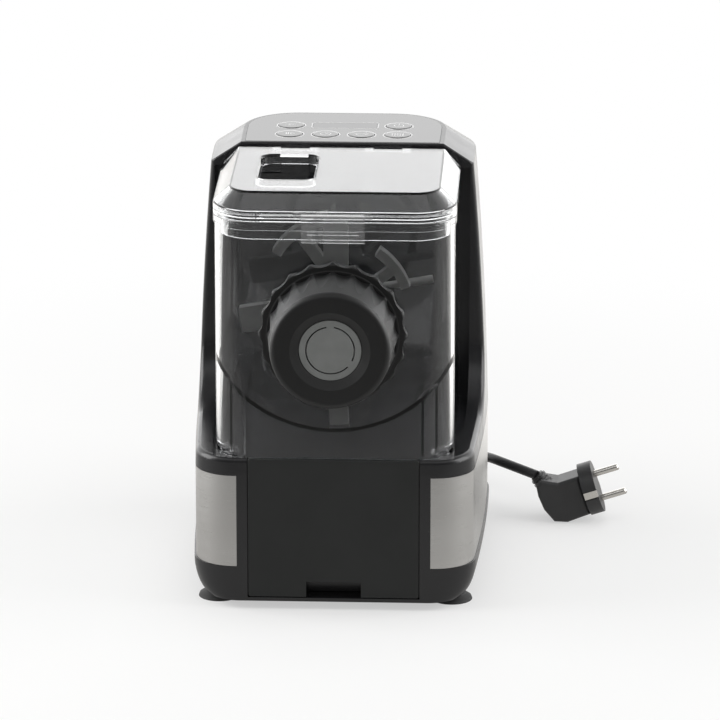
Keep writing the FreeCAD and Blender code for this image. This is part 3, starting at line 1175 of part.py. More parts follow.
def tube(points):
    path = rounded_path(points)
    ring = Part.Wire([Part.makeCircle(CORD_RADIUS, points[0], points[1] - points[0])])
    return path.makePipeShell([ring], True, True)


def grip_end():
    return V(CORD_EXIT_X, DEPTH + GRIP_LENGTH, CORD_EXIT_Z)


def cord_from_grip():
    """From the strain relief down behind the machine and onto the top of the coil."""
    return [grip_end(), V(-30.6, 299, 37.6), V(-29.5, 319, 29), V(-21.5, 338.1, 19.2), V(-4, 349.4, 12),
            V(19, 345.4, 8.8)]


def cord_to_plug():
    """From the bottom of the coil round the machine's right rear corner to the plug's neck."""
    neck = plug_place(NECK_X, NECK_Z)
    return [V(40.2, 333, 3.5), V(54.6, 314.6, 5.2), V(69, 293, 14), V(84.5, 266, 27), V(99, 239, 36.6),
            V(115.5, 217.5, 37.4), neck]


def make_coil():
    """The bundled turns of the cord, as the outer form of three turns lying on each other."""
    inner = COIL_MEAN_RADIUS - COIL_HALF_WIDTH
    outer = COIL_MEAN_RADIUS + COIL_HALF_WIDTH
    height = COIL_HEIGHT
    profile = [(inner + 2.0, 0), (outer - 2.0, 0), (outer - 0.4, 1.8), (outer, CORD_RADIUS), (outer - 0.6, 5.6),
               (COIL_MEAN_RADIUS + 3.0, height - 1.6), (COIL_MEAN_RADIUS + 1.2, height),
               (COIL_MEAN_RADIUS - 1.2, height), (COIL_MEAN_RADIUS - 3.0, height - 1.6), (inner + 0.6, 5.6),
               (inner, CORD_RADIUS), (inner + 0.4, 1.8)]
    return turned_z(profile, COIL_X, COIL_Y)


def plug_place(x, z):
    """A point of the plug's own side view, moved to where the plug lies."""
    tilt = math.radians(PLUG_TILT)
    return V(PLUG_X + x * math.cos(tilt) - z * math.sin(tilt), PLUG_Y, PLUG_Z + x * math.sin(tilt) + z * math.cos(tilt))


def laid_plug(shape):
    """Tilts a piece of the plug, modelled with its pins along +X, and sets it in its place."""
    shape = shape.copy()
    shape.rotate(V(0, 0, 0), V(0, 1, 0), -PLUG_TILT)
    shape.translate(V(PLUG_X, PLUG_Y, PLUG_Z))
    return shape


def make_plug_body():
    """The angled plug: a round face with a rim, a body behind it and a ribbed neck that comes in from above."""
    rim = rod_x(PLUG_HALF_HEIGHT, 0, 0, -10.0, 0)
    side = [(-10, -16), (-28, -17.1), (-37.1, -13.7), (-41.5, -3), (-42.5, 8), (-41.5, 16.8), (-36.5, 19.2),
            (-30, 15.6), (-25.8, 13.6), (-10, 14.0)]
    wire = Part.makePolygon([V(x, -11.5, z) for x, z in side + side[:1]])
    core = Part.Face(wire).extrude(V(0, 23, 0))
    rounded = [edge for edge in core.Edges if abs(edge.BoundBox.YLength) < 0.1]
    core = core.makeFillet(2.6, rounded)
    direction = V(0.44, 0, -0.9)
    neck = Part.makeCone(CORD_RADIUS + 1.4, CORD_RADIUS + 3.8, 14, V(NECK_X, 0, NECK_Z), direction)
    pieces = [rim, core, neck]
    for index in range(3):
        at = V(NECK_X, 0, NECK_Z) + direction * (1.5 + 3.2 * index)
        pieces.append(Part.makeCylinder(CORD_RADIUS + 2.6 + 0.55 * index, 1.6, at, direction))
    body = joined(pieces)
    slots = []
    for side_sign in (-1, 1):
        y = side_sign * (PLUG_HALF_HEIGHT - 2.4)
        slots.append(box(-20, 1, min(y, side_sign * 25), max(y, side_sign * 25), -3.2, 3.2))
    return laid_plug(body.cut(slots))


def make_pins():
    pins = []
    for side_sign in (-1, 1):
        z = side_sign * PIN_SPACING / 2
        pin = rod_x(PIN_RADIUS, 0, z, 0, PIN_LENGTH - 1.0)
        tip = Part.makeCone(PIN_RADIUS, PIN_RADIUS - 0.9, 1.0, V(PIN_LENGTH - 1.0, 0, z), V(1, 0, 0))
        pins.append(pin.fuse(tip).removeSplitter())
    return laid_plug(Part.makeCompound(pins))


def make_earth_clips():
    clips = []
    for side_sign in (-1, 1):
        y0 = side_sign * (PLUG_HALF_HEIGHT - 2.4)
        y1 = side_sign * (PLUG_HALF_HEIGHT - 1.2)
        clips.append(box(-10, 0, min(y0, y1), max(y0, y1), -2.6, 2.6))
    return laid_plug(Part.makeCompound(clips))


def build():
    os.makedirs("parts", exist_ok=True)
    body = make_body()
    save("base_skirt", make_skirt())
    save("rubber_feet", make_feet())
    save("body_frame", make_frame(body))
    left, right = make_side_panel()
    save("left_side_panel", left)
    save("right_side_panel", right)
    save("rear_cover", make_rear_cover(body))
    save("head_cover", make_head_cover(body))
    save("control_panel", make_control_panel())
    save("display_window", make_display_window())
    for index, (x, y) in enumerate(button_places()):
        save("button_" + str(index + 1), make_button(x, y))
    save("control_board", make_control_board())
    save("tact_switches", make_switches())
    save("display_module", make_display_module())
    save("power_board", make_power_board())
    save("mixing_chamber", make_chamber())
    save("extrusion_barrel", make_barrel())
    save("die_nut", make_nut())
    save("shaping_die", make_die())
    save("extruder_screw", make_screw())
    save("kneading_paddle", make_paddle())
    save("output_shaft", make_output_shaft())
    save("shaft_seal", make_seal())
    save("shaft_bushings", make_bushings())
    save("output_gear", make_output_gear())
    save("idler_gear", make_idler())
    save("idler_axle", make_axle())
    save("motor_pinion", make_motor_pinion())
    save("gearbox_case", make_case())
    save("gearbox_cover", make_case_cover())
    save("motor_can", make_motor_can())
    save("motor_stator", make_stator())
    save("motor_rotor", make_rotor())
    save("cooling_fan", make_fan())
    save("lid", make_lid())
    save("lid_hinge_pins", make_hinge_pins())
    save("lid_latch", make_latch())
    save("latch_pin", make_latch_pin())
    save("drawer_front", make_drawer_front())
    save("drawer_tray", make_drawer_tray())
    save("case_screws", make_screws())
    save("cord_grip", make_grip())
    save("cord_to_coil", tube(cord_from_grip()))
    save("cord_coil", make_coil())
    save("cord_to_plug", tube(cord_to_plug()))
    save("plug_body", make_plug_body())
    save("plug_pins", make_pins())
    save("earth_clips", make_earth_clips())


build()
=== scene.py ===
"""The electric pasta maker, finished for the studio: camera, cord, finishes, prints, floor and light."""
import json
import math

import bmesh
import bpy
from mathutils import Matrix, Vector


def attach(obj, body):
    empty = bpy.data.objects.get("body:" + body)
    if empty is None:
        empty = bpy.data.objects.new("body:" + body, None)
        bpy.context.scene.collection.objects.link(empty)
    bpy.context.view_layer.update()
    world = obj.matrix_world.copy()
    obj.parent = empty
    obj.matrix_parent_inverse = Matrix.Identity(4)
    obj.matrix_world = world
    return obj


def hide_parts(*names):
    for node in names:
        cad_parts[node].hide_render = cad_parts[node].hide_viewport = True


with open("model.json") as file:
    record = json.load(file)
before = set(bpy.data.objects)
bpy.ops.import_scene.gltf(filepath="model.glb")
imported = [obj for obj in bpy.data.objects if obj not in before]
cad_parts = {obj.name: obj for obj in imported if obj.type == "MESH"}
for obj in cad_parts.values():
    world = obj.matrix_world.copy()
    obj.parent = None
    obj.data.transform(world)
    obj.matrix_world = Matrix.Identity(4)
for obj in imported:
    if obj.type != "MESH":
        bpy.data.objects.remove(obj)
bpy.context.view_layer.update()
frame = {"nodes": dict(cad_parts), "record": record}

# Places from the CAD model, in metres in its frame.
PANEL_TOP = 0.2992
BUTTON_TOP = 0.2997
BUTTON_PLACES = {
    "button_1": (-0.0381, 0.0539),
    "button_2": (-0.0127, 0.0539),
    "button_3": (0.0127, 0.0539),
    "button_4": (0.0381, 0.0539),
    "button_5": (-0.0381, 0.0784),
    "button_6": (0.0381, 0.0784),
}
DISPLAY = (-0.0227, 0.0723, 0.0227, 0.0863)     # left, front, right, rear
PRINT_HEIGHT = 0.00004          # how far the white print stands on what it is printed on
PRINT_LINE = 0.0007             # width of the signs' strokes and of the line round the display
RING_INNER = 0.0095
RING_OUTER = 0.0105
OUTLINE_GAP = 0.0008            # from the display's edge to the middle of the line round it
OUTLINE_OVER = 0.0023           # how much longer a side of that line is than the display's own

# The mains lead.
CORD_DIAMETER = 0.007
COIL_CENTRE = (0.008, 0.2029)
COIL_START = 76.5               # degrees, from +X, where the lead comes down on the coil
COIL_STEP = 20.0
FROM_GRIP = [
    (-0.0300, 0.1769, 0.0400),
    (-0.0306, 0.1959, 0.0376),
    (-0.0295, 0.2159, 0.0290),
    (-0.0215, 0.2350, 0.0192),
    (-0.0040, 0.2463, 0.0120),
]
TO_PLUG = [
    (0.0546, 0.2115, 0.0052),
    (0.0690, 0.1899, 0.0140),
    (0.0845, 0.1629, 0.0270),
    (0.0990, 0.1359, 0.0366),
    (0.1155, 0.1144, 0.0374),
    (0.1377, 0.1019, 0.0330),
]
# How the turns lie: degrees wound so far, distance from the coil's middle, height of the lead's middle.
COIL_LAY = [
    (0.0, 0.0455, 0.0102),
    (76.5, 0.0455, 0.0096),
    (96.5, 0.0420, 0.0105),
    (116.5, 0.0385, 0.0096),
    (396.5, 0.0385, 0.0096),
    (416.5, 0.0385, 0.0105),
    (436.5, 0.0382, 0.0102),
    (456.5, 0.0360, 0.0072),
    (476.5, 0.0350, 0.0035),
    (756.5, 0.0350, 0.0035),
    (796.5, 0.0420, 0.0035),
    (1116.5, 0.0420, 0.0035),
]


# Small tools of the bench.

def clear_selection():
    """Leaves object mode with nothing selected."""
    if bpy.context.object and bpy.context.object.mode != "OBJECT":
        bpy.ops.object.mode_set(mode="OBJECT")
    bpy.ops.object.select_all(action="DESELECT")


def keep_place():
    """Moves the active object's place into its mesh."""
    bpy.ops.object.transform_apply(location=True, rotation=True, scale=True)


def pick_faces(test):
    """In edit mode: selects only the faces whose middle and normal pass the test."""
    mesh = bmesh.from_edit_mesh(bpy.context.object.data)
    for face in mesh.faces:
        face.select_set(False)
    for face in mesh.faces:
        if test(face.calc_center_median(), face.normal):
            face.select_set(True)
    mesh.select_flush_mode()
    bmesh.update_edit_mesh(bpy.context.object.data)


def join_pieces(pieces, name):
    """One object of several, with its mesh named like it."""
    clear_selection()
    for piece in pieces:
        piece.select_set(True)
    bpy.context.view_layer.objects.active = pieces[0]
    if len(pieces) > 1:
        bpy.ops.object.join()
    whole = bpy.context.object
    whole.name = name
    whole.data.name = name
    return whole


def dress(piece, material, body=None):
    """Gives a piece one finish and the body that it rides on."""
    piece.data.materials.clear()
    piece.data.materials.append(material)
    if body:
        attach(piece, body)
    return piece


# The camera and the lead come first.

def photograph_camera():
    """The camera at the photograph's angle: far off, long lens, 17 degrees up and a little to the right."""
    camera = bpy.data.cameras.new("camera")
    camera.lens = 275
    camera.sensor_width = 36
    camera.clip_end = 100
    holder = bpy.data.objects.new("camera", camera)
    holder.location = (0.1751, -3.6924, 1.2798)
    holder.rotation_euler = (math.radians(73), 0, math.radians(2.5))
    bpy.context.scene.collection.objects.link(holder)
    bpy.context.scene.camera = holder


def lay_at(wound):
    """Distance and height of the lead in its coil after so many degrees."""
    for (start, near, low), (end, far, high) in zip(COIL_LAY, COIL_LAY[1:]):
        if wound <= end:
            share = (wound - start) / (end - start)
            return near + (far - near) * share, low + (high - low) * share
    return COIL_LAY[-1][1:]


def coil_points():
    """The turns of the put-away length, clockwise from above."""
    points = []
    total = COIL_LAY[-1][0]
    steps = round(total / COIL_STEP)
    for step in range(steps + 1):
        wound = total * step / steps
        angle = math.radians(COIL_START - wound)
        radius, height = lay_at(wound)
        x = COIL_CENTRE[0] + radius * math.cos(angle)
        y = COIL_CENTRE[1] + radius * math.sin(angle)
        points.append((x, y, height))
    return points


def mains_lead():
    """The lead from its grip in the rear cover, through its coil, round the machine to the plug."""
    points = FROM_GRIP + coil_points() + TO_PLUG
    curve = bpy.data.curves.new("mains_lead", "CURVE")
    curve.dimensions = "3D"
    curve.bevel_depth = 1.0
    curve.bevel_resolution = 5
    curve.use_fill_caps = True
    curve.resolution_u = 10
    spline = curve.splines.new("NURBS")
    spline.points.add(len(points) - 1)
    for point, place in zip(spline.points, points):
        point.co = (*place, 1.0)
        point.radius = CORD_DIAMETER / 2
    spline.order_u = 3
    spline.use_endpoint_u = True
    lead = bpy.data.objects.new("mains_lead", curve)
    bpy.context.scene.collection.objects.link(lead)
    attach(lead, "machine")
    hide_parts("cord_to_coil", "cord_coil", "cord_to_plug")
    return lead


# Finishes. Each is a Principled shader with its even values on its own sockets and its grain from nodes.

def new_finish(name, colour, roughness, **sockets):
    """A material with its even values set. In the name of a further socket, _ stands for a space."""
    material = bpy.data.materials.new(name)
    material.use_nodes = True
    tree = material.node_tree
    shader = tree.nodes["Principled BSDF"]
    shader.inputs["Base Color"].default_value = (*colour, 1)
    shader.inputs["Roughness"].default_value = roughness
    for socket, value in sockets.items():
        shader.inputs[socket.replace("_", " ")].default_value = value
    material.diffuse_color = (*colour, 1)
    return material


def add_node(material, kind, **values):
    """A node with its own values set."""
    node = material.node_tree.nodes.new(kind)
    for key, value in values.items():
        if key in node.inputs:
            node.inputs[key].default_value = value
        else:
            setattr(node, key, value)
    return node


def join_sockets(material, first, second):
    """A link from the first socket to the second."""
    material.node_tree.links.new(first, second)


def shader_of(material):
    """The material's Principled shader."""
    return material.node_tree.nodes["Principled BSDF"]


def grain(material, size, detail=2.0, stretch=(1, 1, 1)):
    """Noise of one grain size in metres, stretched along an axis where the real grain is."""
    place = add_node(material, "ShaderNodeTexCoord")
    turn = add_node(material, "ShaderNodeMapping")
    turn.inputs["Scale"].default_value = stretch
    noise = add_node(material, "ShaderNodeTexNoise", Scale=1 / size, Detail=detail)
    join_sockets(material, place.outputs["Object"], turn.inputs["Vector"])
    join_sockets(material, turn.outputs["Vector"], noise.inputs["Vector"])
    return noise.outputs["Fac"]


def ranged(material, source, low, high):
    """Noise, which mostly lies between 0.3 and 0.7, brought to the range from low to high."""
    node = add_node(material, "ShaderNodeMapRange")
    node.inputs["From Min"].default_value = 0.3
    node.inputs["From Max"].default_value = 0.7
    node.inputs["To Min"].default_value = low
    node.inputs["To Max"].default_value = high
    join_sockets(material, source, node.inputs["Value"])
    return node.outputs["Result"]


def vary_roughness(material, source, low, high):
    """The roughness between two near values."""
    join_sockets(material, ranged(material, source, low, high), shader_of(material).inputs["Roughness"])


def vary_colour(material, source, dark, light):
    """The colour between two near ones."""
    ramp = add_node(material, "ShaderNodeMix", data_type="RGBA")
    join_sockets(material, ranged(material, source, 0, 1), ramp.inputs["Factor"])
    colours = [socket for socket in ramp.inputs if socket.type == "RGBA"]
    colours[0].default_value = (*dark, 1)
    colours[1].default_value = (*light, 1)
    results = [socket for socket in ramp.outputs if socket.type == "RGBA"]
    join_sockets(material, results[0], shader_of(material).inputs["Base Color"])


def raise_grain(material, source, depth, strength=1.0):
    """The grain as a fine relief, depth in metres."""
    relief = add_node(material, "ShaderNodeBump")
    relief.inputs["Strength"].default_value = strength
    relief.inputs["Distance"].default_value = depth
    join_sockets(material, source, relief.inputs["Height"])
    join_sockets(material, relief.outputs["Normal"], shader_of(material).inputs["Normal"])


def let_lamps_through(material):
    """Clear plastic lets the lamps' light reach what is inside it."""
    tree = material.node_tree
    output = next(node for node in tree.nodes if node.type == "OUTPUT_MATERIAL")
    mix = tree.nodes.new("ShaderNodeMixShader")
    path = tree.nodes.new("ShaderNodeLightPath")
    clear = tree.nodes.new("ShaderNodeBsdfTransparent")
    clear.inputs["Color"].default_value = (0.85, 0.86, 0.87, 1)
    tree.links.new(path.outputs["Is Shadow Ray"], mix.inputs["Fac"])
    tree.links.new(shader_of(material).outputs["BSDF"], mix.inputs[1])
    tree.links.new(clear.outputs["BSDF"], mix.inputs[2])
    tree.links.new(mix.outputs["Shader"], output.inputs["Surface"])


def satin_black():
    """Moulded black plastic of the body: a fine even grain and a soft sheen."""
    material = new_finish("satin_black_plastic", (0.011, 0.011, 0.012), 0.24, Specular_IOR_Level=0.55)
    vary_roughness(material, grain(material, 0.02, 2), 0.21, 0.27)
    raise_grain(material, grain(material, 0.00035, 3), 0.00001, 0.4)
    return material


def drawer_black():
    """The drawer's front: the same plastic with a duller moulded face."""
    material = new_finish("drawer_black_plastic", (0.021, 0.022, 0.0215), 0.55, Specular_IOR_Level=0.3)
    vary_colour(material, grain(material, 0.03, 3), (0.0195, 0.0205, 0.020), (0.0225, 0.0235, 0.023))
    raise_grain(material, grain(material, 0.0003, 3), 0.000015, 0.5)
    return material


def panel_gloss():
    """The control panel's polished black plastic."""
    material = new_finish("gloss_black_panel", (0.03, 0.03, 0.03), 0.08, IOR=1.72)
    vary_roughness(material, grain(material, 0.015, 2), 0.06, 0.10)
    return material


def window_gloss():
    """The display's smoked window."""
    material = new_finish("smoked_window", (0.012, 0.012, 0.014), 0.05, IOR=1.62)
    vary_roughness(material, grain(material, 0.01, 2), 0.04, 0.07)
    return material


def brushed_panel():
    """Brushed stainless steel, grained across, with the faint cloudiness of rolled sheet."""
    material = new_finish("brushed_side_steel", (0.60, 0.595, 0.58), 0.34, Metallic=1.0)
    lines = grain(material, 0.0004, 4, (0.02, 0.02, 1))
    vary_roughness(material, lines, 0.26, 0.42)
    vary_colour(material, grain(material, 0.05, 2, (0.3, 0.3, 1)), (0.56, 0.55, 0.535), (0.64, 0.635, 0.62))
    raise_grain(material, lines, 0.000012, 0.6)
    return material


def clear_moulding():
    """Clear moulded plastic of the chamber and the lid."""
    colour = (0.97, 0.975, 0.98)
    material = new_finish("clear_moulded_plastic", colour, 0.015, IOR=1.49, Transmission_Weight=1.0)
    raise_grain(material, grain(material, 0.03, 1), 0.0002, 0.08)
    let_lamps_through(material)
    return material


def latch_moulding():
    """The latch's clear plastic, a shade cloudier than the lid's."""
    material = new_finish("clear_latch_plastic", (0.9, 0.9, 0.9), 0.08, IOR=1.49, Transmission_Weight=0.93)
    raise_grain(material, grain(material, 0.02, 1), 0.0001, 0.08)
    let_lamps_through(material)
    return material


def milky_moulding():
    """The paddle's milky plastic, in which light spreads."""
    colour = (0.17, 0.17, 0.165)
    material = new_finish("milky_paddle_plastic", colour, 0.35, Transmission_Weight=0.6, IOR=1.3)
    vary_colour(material, grain(material, 0.01, 2), (0.155, 0.155, 0.15), (0.19, 0.19, 0.185))
    raise_grain(material, grain(material, 0.0008, 2), 0.00002, 0.4)
    return material


def plain_moulding(name, colour, roughness, size=0.0004, depth=0.00002):
    """A moulded part of one colour, a little uneven."""
    material = new_finish(name, colour, roughness)
    dark = tuple(0.93 * part for part in colour)
    light = tuple(min(1.0, 1.07 * part) for part in colour)
    vary_colour(material, grain(material, 0.012, 3), dark, light)
    raise_grain(material, grain(material, size, 3), depth, 0.6)
    return material


def worked_metal(name, colour, roughness, stretch=(1, 1, 1)):
    """Turned, plated or stamped metal with its working marks."""
    material = new_finish(name, colour, roughness, Metallic=1.0)
    lines = grain(material, 0.0005, 3, stretch)
    vary_roughness(material, lines, roughness * 0.8, roughness * 1.25)
    raise_grain(material, lines, 0.00001, 0.5)
    return material


def white_print():
    """The white ink of rings and signs."""
    material = new_finish("white_print", (0.82, 0.82, 0.82), 0.6)
    vary_colour(material, grain(material, 0.0015, 2), (0.78, 0.78, 0.78), (0.86, 0.86, 0.86))
    return material


def all_finishes():
    """Every finish by the record's slot name, those of single pieces, and the print."""
    return {
        "black_plastic": satin_black(),
        "drawer": drawer_black(),
        "gloss_black": panel_gloss(),
        "smoked_window": window_gloss(),
        "side_steel": brushed_panel(),
        "clear_plastic": clear_moulding(),
        "latch": latch_moulding(),
        "milky_plastic": milky_moulding(),
        "grey_plastic": plain_moulding("grey_barrel_plastic", (0.30, 0.31, 0.32), 0.4),
        "die_grey": plain_moulding("grey_die_plastic", (0.17, 0.175, 0.17), 0.42),
        "grained_black": plain_moulding("grained_black_nut", (0.009, 0.009, 0.009), 0.45, 0.0005, 0.00008),
        "white_plastic": plain_moulding("white_gear_plastic", (0.8, 0.8, 0.78), 0.4),
        "steel_part": worked_metal("turned_steel", (0.6, 0.6, 0.6), 0.25, (1, 8, 1)),
        "bronze": worked_metal("sintered_bronze", (0.6, 0.42, 0.22), 0.4),
        "motor_metal": worked_metal("zinc_plate", (0.38, 0.38, 0.39), 0.38),
        "dark_parts": plain_moulding("dark_inner_plastic", (0.06, 0.06, 0.065), 0.5),
        "circuit_board": plain_moulding("green_solder_mask", (0.05, 0.2, 0.1), 0.35),
        "black_rubber": plain_moulding("black_rubber", (0.03, 0.03, 0.03), 0.7, 0.0006, 0.00004),
        "cord_black": plain_moulding("black_lead_sheath", (0.03, 0.03, 0.031), 0.42, 0.0007, 0.00003),
        "nickel": worked_metal("nickel_pins", (0.72, 0.70, 0.66), 0.2),
        "print": white_print(),
    }


# Pieces whose finish isn't the one of their slot.
OWN_FINISHES = {"drawer_front": "drawer", "lid_latch": "latch"}


def finish_nodes(finishes):
    """Every CAD node gets its slot's finish, or its own."""
    slots = {part["node"]: part["material_slot"] for part in frame["record"]["subparts"]}
    for name, node in frame["nodes"].items():
        finish = finishes[OWN_FINISHES.get(name, slots[name])]
        for slot in node.material_slots:
            slot.material = finish
        if not node.material_slots:
            node.data.materials.append(finish)


# The panel's print.

def printed_ring(x, y, z, inner, outer, name):
    """A thin printed ring."""
    clear_selection()
    bpy.ops.mesh.primitive_circle_add(vertices=96, radius=outer, fill_type="NGON", location=(x, y, z))
    ring = bpy.context.object
    bpy.ops.object.mode_set(mode="EDIT")
    bpy.ops.mesh.select_all(action="SELECT")
    bpy.ops.mesh.inset(thickness=outer - inner)
    bpy.ops.mesh.delete(type="FACE")
    bpy.ops.mesh.select_all(action="SELECT")
    bpy.ops.mesh.extrude_region_move(TRANSFORM_OT_translate={"value": (0, 0, PRINT_HEIGHT)})
    bpy.ops.mesh.select_all(action="SELECT")
    bpy.ops.mesh.normals_make_consistent(inside=False)
    bpy.ops.object.mode_set(mode="OBJECT")
    keep_place()
    ring.name = name
    return ring


def printed_bar(x, y, z, width, length, turn=0.0):
    """A thin printed bar, turned about its middle by so many degrees."""
    clear_selection()
    bpy.ops.mesh.primitive_plane_add(size=1, location=(x, y, z))
    bar = bpy.context.object
    bar.scale = (width, length, 1)
    bar.rotation_euler = (0, 0, math.radians(turn))
    keep_place()
    bpy.ops.object.mode_set(mode="EDIT")
    bpy.ops.mesh.select_all(action="SELECT")
    bpy.ops.mesh.bevel(offset=min(width, length) * 0.3, segments=3, affect="VERTICES")
    bpy.ops.mesh.select_all(action="SELECT")
    bpy.ops.mesh.extrude_region_move(TRANSFORM_OT_translate={"value": (0, 0, PRINT_HEIGHT)})
    bpy.ops.mesh.select_all(action="SELECT")
    bpy.ops.mesh.normals_make_consistent(inside=False)
    bpy.ops.object.mode_set(mode="OBJECT")
    return bar


def printed_arc(x, y, z, inner, outer, start, end, name):
    """Part of a ring, from one angle to another, in degrees anticlockwise from +X."""
    ring = printed_ring(x, y, z, inner, outer, name)
    bpy.ops.object.mode_set(mode="EDIT")

    def outside(middle, normal):
        angle = math.degrees(math.atan2(middle.y - y, middle.x - x)) % 360
        return not (start <= angle <= end or start <= angle + 360 <= end)

    pick_faces(outside)
    bpy.ops.mesh.delete(type="FACE")
    bpy.ops.mesh.select_all(action="DESELECT")
    bpy.ops.mesh.select_non_manifold()
    bpy.ops.mesh.fill_holes(sides=0)
    bpy.ops.mesh.select_all(action="SELECT")
    bpy.ops.mesh.normals_make_consistent(inside=False)
    bpy.ops.object.mode_set(mode="OBJECT")
    return ring


def sign_pieces(kind, x, y, z):
    """The strokes of one plain sign on a button."""
    line = PRINT_LINE
    bar = printed_bar
    if kind == "power":
        return [printed_arc(x, y, z, 0.0031, 0.0038, 125, 415, "power"), bar(x, y + 0.0031, z, line, 0.0036)]
    if kind == "list":
        rows = [bar(x + 0.0009, y + step * 0.0021, z, 0.0062, line) for step in (-1, 0, 1)]
        return rows + [bar(x - 0.0037, y + step * 0.0021, z, line, line) for step in (-1, 0, 1)]
    if kind == "clock":
        return [printed_ring(x, y, z, 0.0033, 0.0040, "clock"), bar(x, y + 0.0012, z, line, 0.0026),
                bar(x + 0.0009, y, z, 0.0022, line)]
    if kind == "bowl":
        return [printed_arc(x, y + 0.0008, z, 0.0038, 0.0045, 180, 360, "bowl"),
                bar(x, y + 0.0009, z, 0.0096, line), bar(x + 0.0022, y + 0.0026, z, line, 0.0042, -38)]
    if kind == "noodles":
        return [bar(x + step * 0.0019, y - 0.0006, z, line, 0.0062) for step in (-2, -1, 0, 1, 2)] + [
            bar(x, y + 0.0033, z, 0.0092, line)]
    return [bar(x - 0.0024, y, z, line, 0.0056),
            bar(x - 0.0009, y, z, line, 0.0056),
            bar(x + 0.0022, y + 0.0013, z, line, 0.0037, 52),
            bar(x + 0.0022, y - 0.0013, z, line, 0.0037, -52),
            bar(x + 0.0009, y, z, line, 0.0049)]


SIGNS = {
    "button_1": "play",
    "button_2": "clock",
    "button_3": "bowl",
    "button_4": "noodles",
    "button_5": "list",
    "button_6": "power",
}


def panel_print(finishes):
    """White rings round the buttons, a sign on each and the outline round the display."""
    rings = []
    for name, (x, y) in BUTTON_PLACES.items():
        rings.append(printed_ring(x, y, PANEL_TOP, RING_INNER, RING_OUTER, name + "_ring"))
        sign = join_pieces(sign_pieces(SIGNS[name], x, y, BUTTON_TOP), name + "_sign")
        dress(sign, finishes["print"], name)
    dress(join_pieces(rings, "button_rings"), finishes["print"], "machine")
    left, front, right, rear = DISPLAY
    middle_x = (left + right) / 2
    middle_y = (front + rear) / 2
    width = right - left + OUTLINE_OVER
    depth = rear - front + OUTLINE_OVER
    sides = []
    for y in (front - OUTLINE_GAP, rear + OUTLINE_GAP):
        sides.append(printed_bar(middle_x, y, PANEL_TOP, width, PRINT_LINE))
    for x in (left - OUTLINE_GAP, right + OUTLINE_GAP):
        sides.append(printed_bar(x, middle_y, PANEL_TOP, PRINT_LINE, depth))
    dress(join_pieces(sides, "display_outline"), finishes["print"], "machine")


# Floor, light and what the gloss mirrors.

def soft_step(tree, source, low, high, start=0.0, end=1.0):
    """A soft change from start to end while the source goes from low to high."""
    node = tree.nodes.new("ShaderNodeMapRange")
    node.interpolation_type = "SMOOTHSTEP"
    node.inputs["From Min"].default_value = low
    node.inputs["From Max"].default_value = high
    node.inputs["To Min"].default_value = start
    node.inputs["To Max"].default_value = end
    tree.links.new(source, node.inputs["Value"])
    return node.outputs["Result"]


def maths(tree, operation, first, second):
    """One sum of two values, each a number or a socket."""
    node = tree.nodes.new("ShaderNodeMath")
    node.operation = operation
    for socket, value in zip(node.inputs, (first, second)):
        if isinstance(value, float):
            socket.default_value = value
        else:
            tree.links.new(value, socket)
    return node.outputs[0]


def studio_floor():
    """A plain white floor that keeps the machine's shadow."""
    clear_selection()
    bpy.ops.mesh.primitive_plane_add(size=24, location=(0, 0, 0))
    floor = bpy.context.object
    floor.name = "floor"
    material = bpy.data.materials.new("white_floor")
    material.use_nodes = True
    tree = material.node_tree
    shader = shader_of(material)
    shader.inputs["Base Color"].default_value = (0.9, 0.9, 0.89, 1)
    shader.inputs["Roughness"].default_value = 0.9
    shader.inputs["Specular IOR Level"].default_value = 0.0
    output = next(node for node in tree.nodes if node.type == "OUTPUT_MATERIAL")
    place = tree.nodes.new("ShaderNodeTexCoord")
    distance = tree.nodes.new("ShaderNodeVectorMath")
    distance.operation = "LENGTH"
    tree.links.new(place.outputs["Object"], distance.inputs[0])
    axes = tree.nodes.new("ShaderNodeSeparateXYZ")
    tree.links.new(place.outputs["Object"], axes.inputs["Vector"])
    path = tree.nodes.new("ShaderNodeLightPath")
    # Away from the machine the camera sees plain white; near it half of the real shadow stays.
    far = soft_step(tree, distance.outputs["Value"], 0.25, 0.8, 0.5, 1.0)
    seen = maths(tree, "MULTIPLY", path.outputs["Is Camera Ray"], far)
    glow = tree.nodes.new("ShaderNodeEmission")
    glow.inputs["Color"].default_value = (1, 1, 1, 1)
    mix = tree.nodes.new("ShaderNodeMixShader")
    tree.links.new(seen, mix.inputs["Fac"])
    tree.links.new(shader.outputs["BSDF"], mix.inputs[1])
    tree.links.new(glow.outputs["Emission"], mix.inputs[2])
    # What gloss mirrors of the floor: dim in front, bright behind.
    near = soft_step(tree, axes.outputs["Y"], -0.65, -0.25, 0.10, 0.5)
    behind = soft_step(tree, axes.outputs["Y"], 0.1, 0.45, 0.0, 1.1)
    mirror = tree.nodes.new("ShaderNodeEmission")
    mirror.inputs["Color"].default_value = (1, 0.985, 0.96, 1)
    tree.links.new(maths(tree, "ADD", near, behind), mirror.inputs["Strength"])
    finished = tree.nodes.new("ShaderNodeMixShader")
    tree.links.new(maths(tree, "MULTIPLY", path.outputs["Is Glossy Ray"], 0.85), finished.inputs["Fac"])
    tree.links.new(mix.outputs["Shader"], finished.inputs[1])
    tree.links.new(mirror.outputs["Emission"], finished.inputs[2])
    tree.links.new(finished.outputs["Shader"], output.inputs["Surface"])
    floor.data.materials.append(material)


LAMP_TARGET = Vector((0, 0, 0.15))      # the middle of the machine


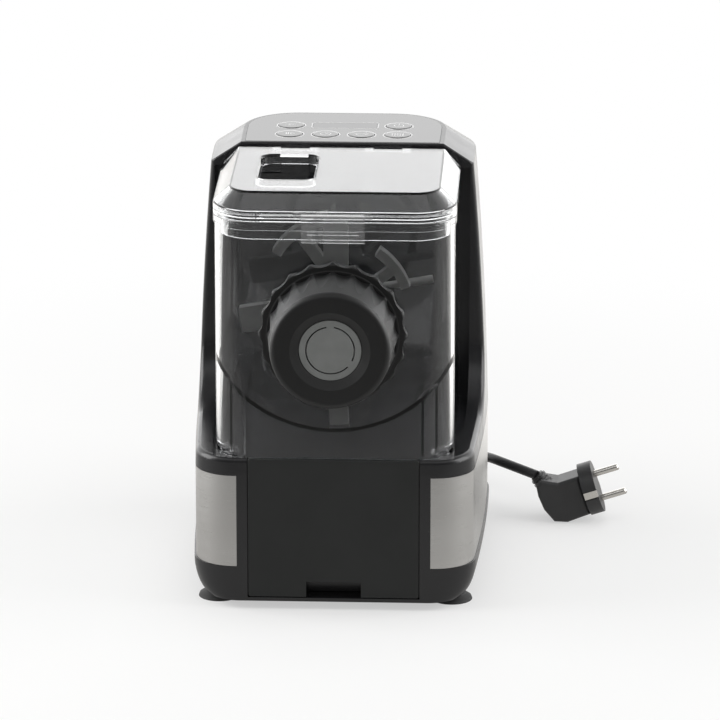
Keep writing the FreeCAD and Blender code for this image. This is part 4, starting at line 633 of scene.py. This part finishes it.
def softbox(name, place, size, strength):
    """A soft rectangular lamp that looks at the machine, its strength in watts."""
    lamp = bpy.data.lights.new(name, "AREA")
    lamp.shape = "RECTANGLE"
    lamp.size, lamp.size_y = size
    lamp.energy = strength
    holder = bpy.data.objects.new(name, lamp)
    holder.location = place
    direction = LAMP_TARGET - Vector(place)
    holder.rotation_euler = direction.to_track_quat("-Z", "Y").to_euler()
    holder.visible_camera = False
    bpy.context.scene.collection.objects.link(holder)
    return holder


def studio_surround():
    """White all round; what gloss mirrors is brighter behind the machine and darker low in front."""
    world = bpy.data.worlds.new("studio")
    world.use_nodes = True
    bpy.context.scene.world = world
    tree = world.node_tree
    background = tree.nodes["Background"]
    background.inputs["Color"].default_value = (1, 1, 1, 1)
    place = tree.nodes.new("ShaderNodeTexCoord")
    axes = tree.nodes.new("ShaderNodeSeparateXYZ")
    tree.links.new(place.outputs["Generated"], axes.inputs["Vector"])

    # Height and depth are of the direction looked in: 1 is straight up, and straight to the back.
    height = axes.outputs["Z"]
    depth = axes.outputs["Y"]
    # A bright card behind the machine, strongest low down.
    foot = soft_step(tree, height, -0.02, 0.03)
    top = soft_step(tree, height, 0.36, 0.7, 1.0, 0.0)
    band = maths(tree, "MULTIPLY", foot, top)
    low = soft_step(tree, height, 0.12, 0.24, 1.5, 0.95)
    card = maths(tree, "MULTIPLY", maths(tree, "MULTIPLY", soft_step(tree, depth, 0.1, 0.6), band), low)
    # The dark room low in front.
    room = soft_step(tree, depth, -0.8, -0.1, 1.0, 0.0)
    front = maths(tree, "MULTIPLY", room, soft_step(tree, height, 0.35, 0.8, 1.0, 0.0))
    mirrored = maths(tree, "SUBTRACT", maths(tree, "ADD", card, 0.95), maths(tree, "MULTIPLY", front, 0.8))
    # Straight above it is dimmer too.
    mirrored = maths(tree, "MULTIPLY", mirrored, soft_step(tree, height, 0.7, 0.93, 1.0, 0.35))
    path = tree.nodes.new("ShaderNodeLightPath")
    seen = maths(tree, "MAXIMUM", path.outputs["Is Camera Ray"], path.outputs["Is Transmission Ray"])
    lit = maths(tree, "MULTIPLY", path.outputs["Is Diffuse Ray"], 0.45)
    gloss = maths(tree, "MULTIPLY", path.outputs["Is Glossy Ray"], mirrored)
    strength = maths(tree, "MAXIMUM", maths(tree, "MAXIMUM", seen, lit), gloss)
    tree.links.new(strength, background.inputs["Strength"])


def studio():
    """The floor, the surround and three soft lamps."""
    studio_floor()
    studio_surround()
    overhead = softbox("overhead_softbox", (0.0, -0.1, 1.9), (1.8, 1.4), 7)
    overhead.visible_glossy = False
    softbox("left_softbox", (-1.5, -0.05, 0.75), (1.2, 1.3), 20)
    softbox("right_softbox", (1.5, -0.05, 0.75), (1.2, 1.3), 15)


photograph_camera()
LEAD = mains_lead()
FINISHES = all_finishes()
finish_nodes(FINISHES)
dress(LEAD, FINISHES["cord_black"])
panel_print(FINISHES)
studio()

bpy.context.scene.view_settings.view_transform = "Standard"
